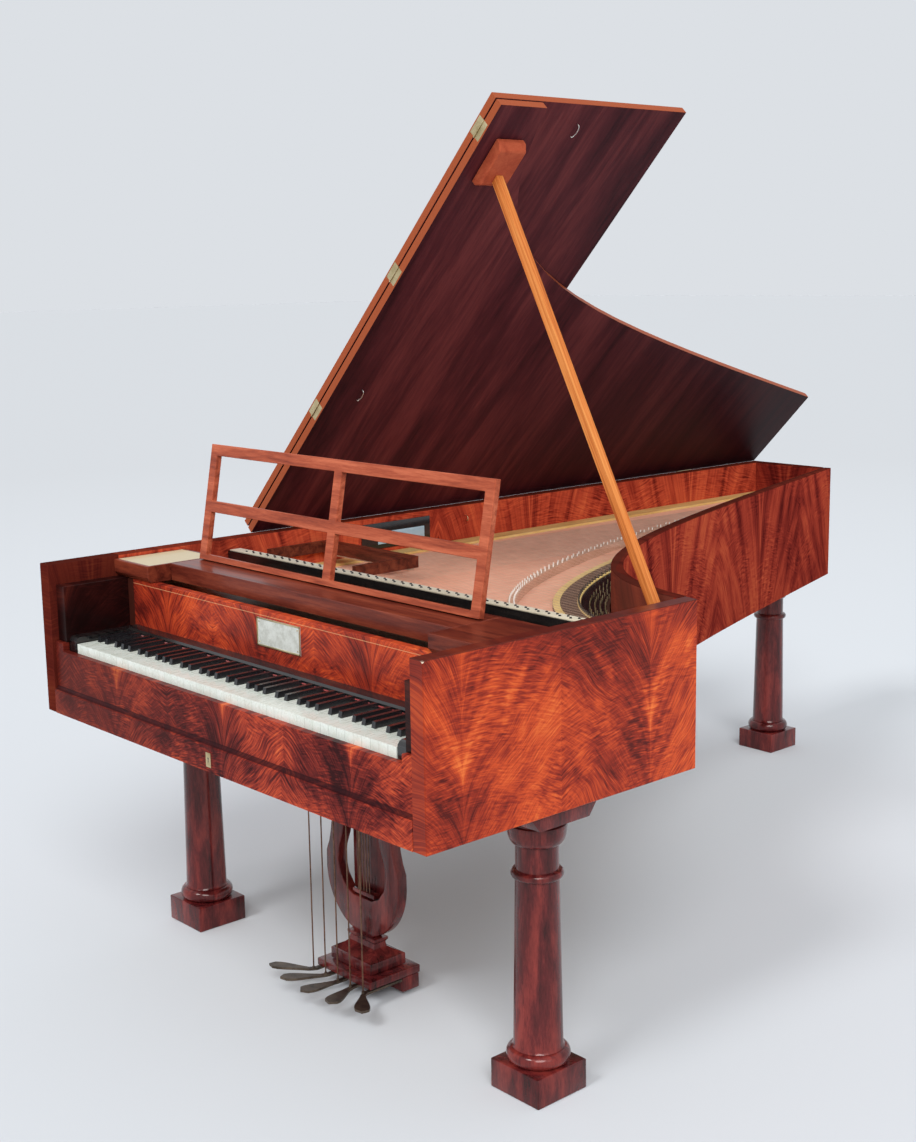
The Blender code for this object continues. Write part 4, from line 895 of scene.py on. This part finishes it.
def make_strings():
    bridge = bridge_line()
    hitch = toward_wall(moulding_line(), 0.54, 0.055)
    height = BRIDGE_TOP + STRING_HEIGHT
    pin_height = SOUNDBOARD_TOP + 0.012
    wires, pins, bridge_pins, hitch_pins = [], [], [], []
    for number in range(STRING_COUNT):
        x = string_place(number)
        lower = at(depth_on(bridge, x))
        end_x = x - 0.010
        rear = Vector((end_x, at(depth_on(hitch, end_x)), pin_height))
        radius = 0.00060 if number < 20 else 0.00028
        for side in (-0.0016, 0.0016):
            front = Vector((x * 1.04 - 0.012 + side, at(0.405 if side > 0 else 0.375), height + 0.004))
            crossing = Vector((x + side, lower, height))
            end = rear + Vector((side, 0.0, 0.0))
            for first, second in ((front, crossing), (crossing, end)):
                way = second - first
                turn = way.to_track_quat("Z", "Y").to_euler()
                wires.append(rod(radius, way.length, (first + second) / 2, turn, 6))
            pins.append(rod(0.0028, 0.034, (front.x, front.y, 0.790 + 0.0165), sides=8, top_radius=0.0022))
            place = crossing + Vector((0.001, 0.005 if side > 0 else -0.005, 0.0))
            bridge_pins.append(rod(0.0013, 0.008, (place.x, place.y, BRIDGE_TOP + 0.0026), sides=6))
        hitch_pins.append(rod(0.0018, 0.012, (rear.x, rear.y, SOUNDBOARD_TOP + 0.0100), sides=6))
    piece("strings", gather(wires), "wire", "case")
    piece("tuning_pins", gather(pins), "iron", "case")
    piece("bridge_pins", gather(bridge_pins), "white_pin", "case")
    piece("hitch_pins", gather(hitch_pins), "iron", "case")


def make_damper_trim():
    low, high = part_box("damper_rail")
    centre = (low + high) / 2
    size = high - low
    felt = bar((size.x - 0.010, size.y - 0.004, 0.0022), (centre.x, centre.y, high.z + 0.0012), 0.0005)
    piece("damper_cloth", felt, "cream_cloth", "dampers")
    studs = [rod(0.0030, 0.0030, (-0.53 + 1.06 * i / 77, centre.y + (0.004 if i % 2 else -0.004), high.z + 0.0030),
                 sides=8, top_radius=0.0022) for i in range(78)]
    piece("damper_studs", gather(studs), "ebony", "dampers")
    low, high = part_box("bassoon_stop")
    strip = bar((high.x - low.x - 0.020, 0.014, 0.006), ((low.x + high.x) / 2, high.y - 0.012, low.z - 0.0032), 0.001)
    piece("bassoon_parchment", strip, "parchment", "bassoon")


def make_wall_pane():
    """Dark frame with a pale pane on the spine's inner wall."""
    x = -INNER + 0.0016
    near, far, low, high = at(0.840), at(1.060), 0.786, 0.850
    frame_shape = bar((0.003, far - near, high - low), (x, (near + far) / 2, (low + high) / 2), 0.0008)
    piece("pane_frame", frame_shape, "ebony", "case")
    pane = bar((0.0012, 0.150, 0.030), (x + 0.0021, at(0.965), 0.812), 0.0003)
    piece("wall_pane", pane, "pane", "case")


# Front

def make_plate_frame():
    low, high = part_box("name_plate")
    width, height = high.x - low.x, high.z - low.z
    rim = 0.0028
    y = low.y - 0.0003
    centre = (low + high) / 2
    bars = [bar((width, 0.0014, rim), (centre.x, y, low.z + rim / 2), 0.0004),
            bar((width, 0.0014, rim), (centre.x, y, high.z - rim / 2), 0.0004),
            bar((rim, 0.0014, height), (low.x + rim / 2, y, centre.z), 0.0004),
            bar((rim, 0.0014, height), (high.x - rim / 2, y, centre.z), 0.0004)]
    screws = [rod(0.0014, 0.0012, (centre.x + sx * (width / 2 - 0.008), y, centre.z + sz * (height / 2 - 0.008)),
                  (math.pi / 2, 0, 0), 10) for sx in (-1, 1) for sz in (-1, 1)]
    piece("plate_rim", gather(bars + screws), "brass", "case")


def make_key_cloth():
    strip = bar((1.040, 0.0012, 0.0025), (0.0, at(0.1479), KEY_TOP + 0.0060), 0.0003)
    piece("key_cloth", strip, "red_cloth", "case")


def make_lock_trim():
    low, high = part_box("lock_plate")
    centre = (low + high) / 2
    hole = rod(0.0019, 0.0008, (0.0, low.y + 0.0004, CASE_BOTTOM + 0.0268), (math.pi / 2, 0, 0), 12)
    slit = bar((0.0020, 0.0008, 0.0075), (0.0, low.y + 0.0002, centre.z - 0.001), 0.0002)
    piece("keyhole", gather([hole, slit]), "ebony", "case")


# Lid fittings

def make_flap_hinges():
    fold = HINGE.z + LID_THICKNESS + FOLD_GAP / 2
    y = at(LID_FRONT)
    for number, along in enumerate((0.40, 0.80, 1.17)):
        x = HINGE.x + along
        barrel = rod(0.0019, 0.042, (x, y, fold), (0, math.pi / 2, 0), 16)
        leaf = bar((0.040, 0.0012, 0.0125), (x, y + 0.0004, fold - 0.0083), 0.0003)
        shape = raise_with_lid(gather([barrel, leaf]))
        piece(f"flap_hinge_{number}_lower", shape, "brass", "lid")
        leaf = bar((0.040, 0.0012, 0.0125), (x, y + 0.0004, fold + 0.0083), 0.0003)
        piece(f"flap_hinge_{number}_upper", raise_with_lid(leaf), "brass", "flap")


def make_spine_hinges():
    for number, depth in enumerate((0.689, 2.089)):
        barrel = rod(0.0035, 0.060, (-HALF - 0.0022, at(depth), CASE_TOP - 0.001), (math.pi / 2, 0, 0), 16)
        leaf = bar((0.0014, 0.056, 0.022), (-HALF - 0.0006, at(depth), CASE_TOP - 0.014), 0.0004)
        piece(f"spine_hinge_{number}", gather([barrel, leaf]), "brass", "case")


def make_hinge_edge():
    """Thin bead along the lid's low edge, that closes the joint with the spine."""
    shape = bmesh.new()
    outline = [(-0.0013, -0.0001), (-0.0003, -0.0001), (-0.0003, 0.0004), (-0.0013, 0.0013)]
    verts = [shape.verts.new((-HALF + x, at(LID_FRONT + 0.006), CASE_TOP + z)) for x, z in outline]
    grow(shape, verts, (0, CASE_LENGTH - LID_FRONT - 0.016, 0))
    piece("hinge_edge", shape, "turned", "lid")


def lid_hook(name, along, depth, height, body):
    """Small wire hook hanging from a lid face."""
    base = Vector((HINGE.x + along, at(depth), HINGE.z + height))
    steps = [(0, 0, 0), (0, 0, -0.005), (-0.004, 0.001, -0.007), (-0.014, 0.003, -0.007), (-0.024, 0.002, -0.006),
             (-0.029, -0.002, -0.006), (-0.026, -0.005, -0.006)]
    turn = Matrix.Rotation(-LID_ANGLE, 3, "Y")
    points = [turn @ (base + Vector(step) - HINGE) + HINGE for step in steps]
    wire(name, points, 0.0009, "pin", body)


def make_hooks():
    lid_hook("lid_hook", 0.474, 0.620, 0.0, "lid")
    lid_hook("flap_hook", 1.193, 0.791, LID_THICKNESS + FOLD_GAP, "flap")
    for number, (depth, height) in enumerate(((1.183, 0.837), (1.719, 0.847))):
        x = -INNER
        points = [(x, at(depth), height), (x + 0.008, at(depth), height), (x + 0.012, at(depth), height - 0.008),
                  (x + 0.009, at(depth), height - 0.016), (x + 0.004, at(depth), height - 0.012)]
        wire(f"wall_hook_{number}", points, 0.0012, "brass", "case")


# Camera, floor and light

def make_camera():
    """Camera solved from the photograph, on a 36 mm long side."""
    azimuth, pitch, roll = math.radians(-48.22), math.radians(10.59), math.radians(-0.906)
    forward = Vector((math.sin(azimuth) * math.cos(pitch), math.cos(azimuth) * math.cos(pitch), -math.sin(pitch)))
    level = Vector((math.cos(azimuth), -math.sin(azimuth), 0.0))
    upright = level.cross(forward)
    right = level * math.cos(roll) + upright * math.sin(roll)
    up = upright * math.cos(roll) - level * math.sin(roll)
    data = bpy.data.cameras.new("camera")
    data.lens = 50.92
    data.sensor_width = 36.0
    camera = bpy.data.objects.new("camera", data)
    turn = Matrix((right, up, -forward)).transposed().to_4x4()
    camera.matrix_world = Matrix.Translation((2.4739, -2.7894, 1.4615)) @ turn
    bpy.context.scene.collection.objects.link(camera)
    bpy.context.scene.camera = camera


BACKGROUND = (0.716, 0.745, 0.783)


def make_floor():
    shape = bmesh.new()
    bmesh.ops.create_grid(shape, x_segments=1, y_segments=1, size=60.0)
    mesh = bpy.data.meshes.new("floor")
    shape.to_mesh(mesh)
    shape.free()
    made, tree, shader = start("floor_paper", 0.95)
    shader.inputs["Specular IOR Level"].default_value = 0.0
    mottle = noise(tree, object_place(tree), 0.8)
    near = ramp(tree, mottle, [(0.3, (0.686, 0.720, 0.757)), (0.7, (0.690, 0.724, 0.761))])
    spread = add(tree, "ShaderNodeVectorMath", operation="LENGTH")
    join(tree, object_place(tree), spread.inputs[0])
    fade = add(tree, "ShaderNodeMapRange", {"From Min": 2.5, "From Max": 9.0})
    join(tree, spread.outputs["Value"], fade.inputs["Value"])
    join(tree, mix_colour(tree, fade.outputs["Result"], near, (0.628, 0.653, 0.681)), shader.inputs["Base Color"])
    mesh.materials.append(made)
    floor = bpy.data.objects.new("floor", mesh)
    bpy.context.scene.collection.objects.link(floor)


def make_world():
    """Even ambient light, with the pale background where it is seen or reflected."""
    world = bpy.data.worlds.new("studio")
    bpy.context.scene.world = world
    world.use_nodes = True
    tree = world.node_tree
    ambient = tree.nodes["Background"]
    ambient.inputs["Color"].default_value = (0.97, 0.98, 1.0, 1.0)
    ambient.inputs["Strength"].default_value = 0.55
    shown = add(tree, "ShaderNodeBackground", {"Color": (*BACKGROUND, 1.0), "Strength": 1.0})
    path = add(tree, "ShaderNodeLightPath")
    seen = math_node(tree, "MAXIMUM", path.outputs["Is Camera Ray"], path.outputs["Is Transmission Ray"])
    mixer = add(tree, "ShaderNodeMixShader")
    seen = math_node(tree, "MAXIMUM", seen, path.outputs["Is Glossy Ray"])
    join(tree, seen, mixer.inputs["Fac"])
    join(tree, ambient.outputs["Background"], mixer.inputs[1])
    join(tree, shown.outputs["Background"], mixer.inputs[2])
    join(tree, mixer.outputs["Shader"], tree.nodes["World Output"].inputs["Surface"])


def lamp(name, kind, place, aim, energy, **settings):
    data = bpy.data.lights.new(name, kind)
    data.energy = energy
    for key, value in settings.items():
        setattr(data, key, value)
    item = bpy.data.objects.new(name, data)
    item.location = place
    item.rotation_euler = (Vector(aim) - Vector(place)).to_track_quat("-Z", "Y").to_euler()
    bpy.context.scene.collection.objects.link(item)


def make_light():
    lamp("front_sun", "SUN", (0.3, -4.0, 4.2), (0.0, 0.0, 0.0), 1.02, angle=math.radians(16))
    lamp("treble_sun", "SUN", (3.0, -2.4, 3.1), (0.0, 0.0, 0.0), 1.76, angle=math.radians(30))
    lamp("treble_soft_box", "AREA", (4.6, -1.6, 2.6), (0.3, -0.2, 0.6), 16.0, size=2.2)


make_camera()
dress_carried_nodes()
make_bentside()
make_legs()
make_lyre()
make_strings()
make_hitch_rail()
make_damper_trim()
make_wall_pane()
make_plate_frame()
make_key_cloth()
make_lock_trim()
make_flap_hinges()
make_spine_hinges()
make_hinge_edge()
make_hooks()
make_floor()
make_world()
make_light()
bpy.context.scene.view_settings.view_transform = "Standard"
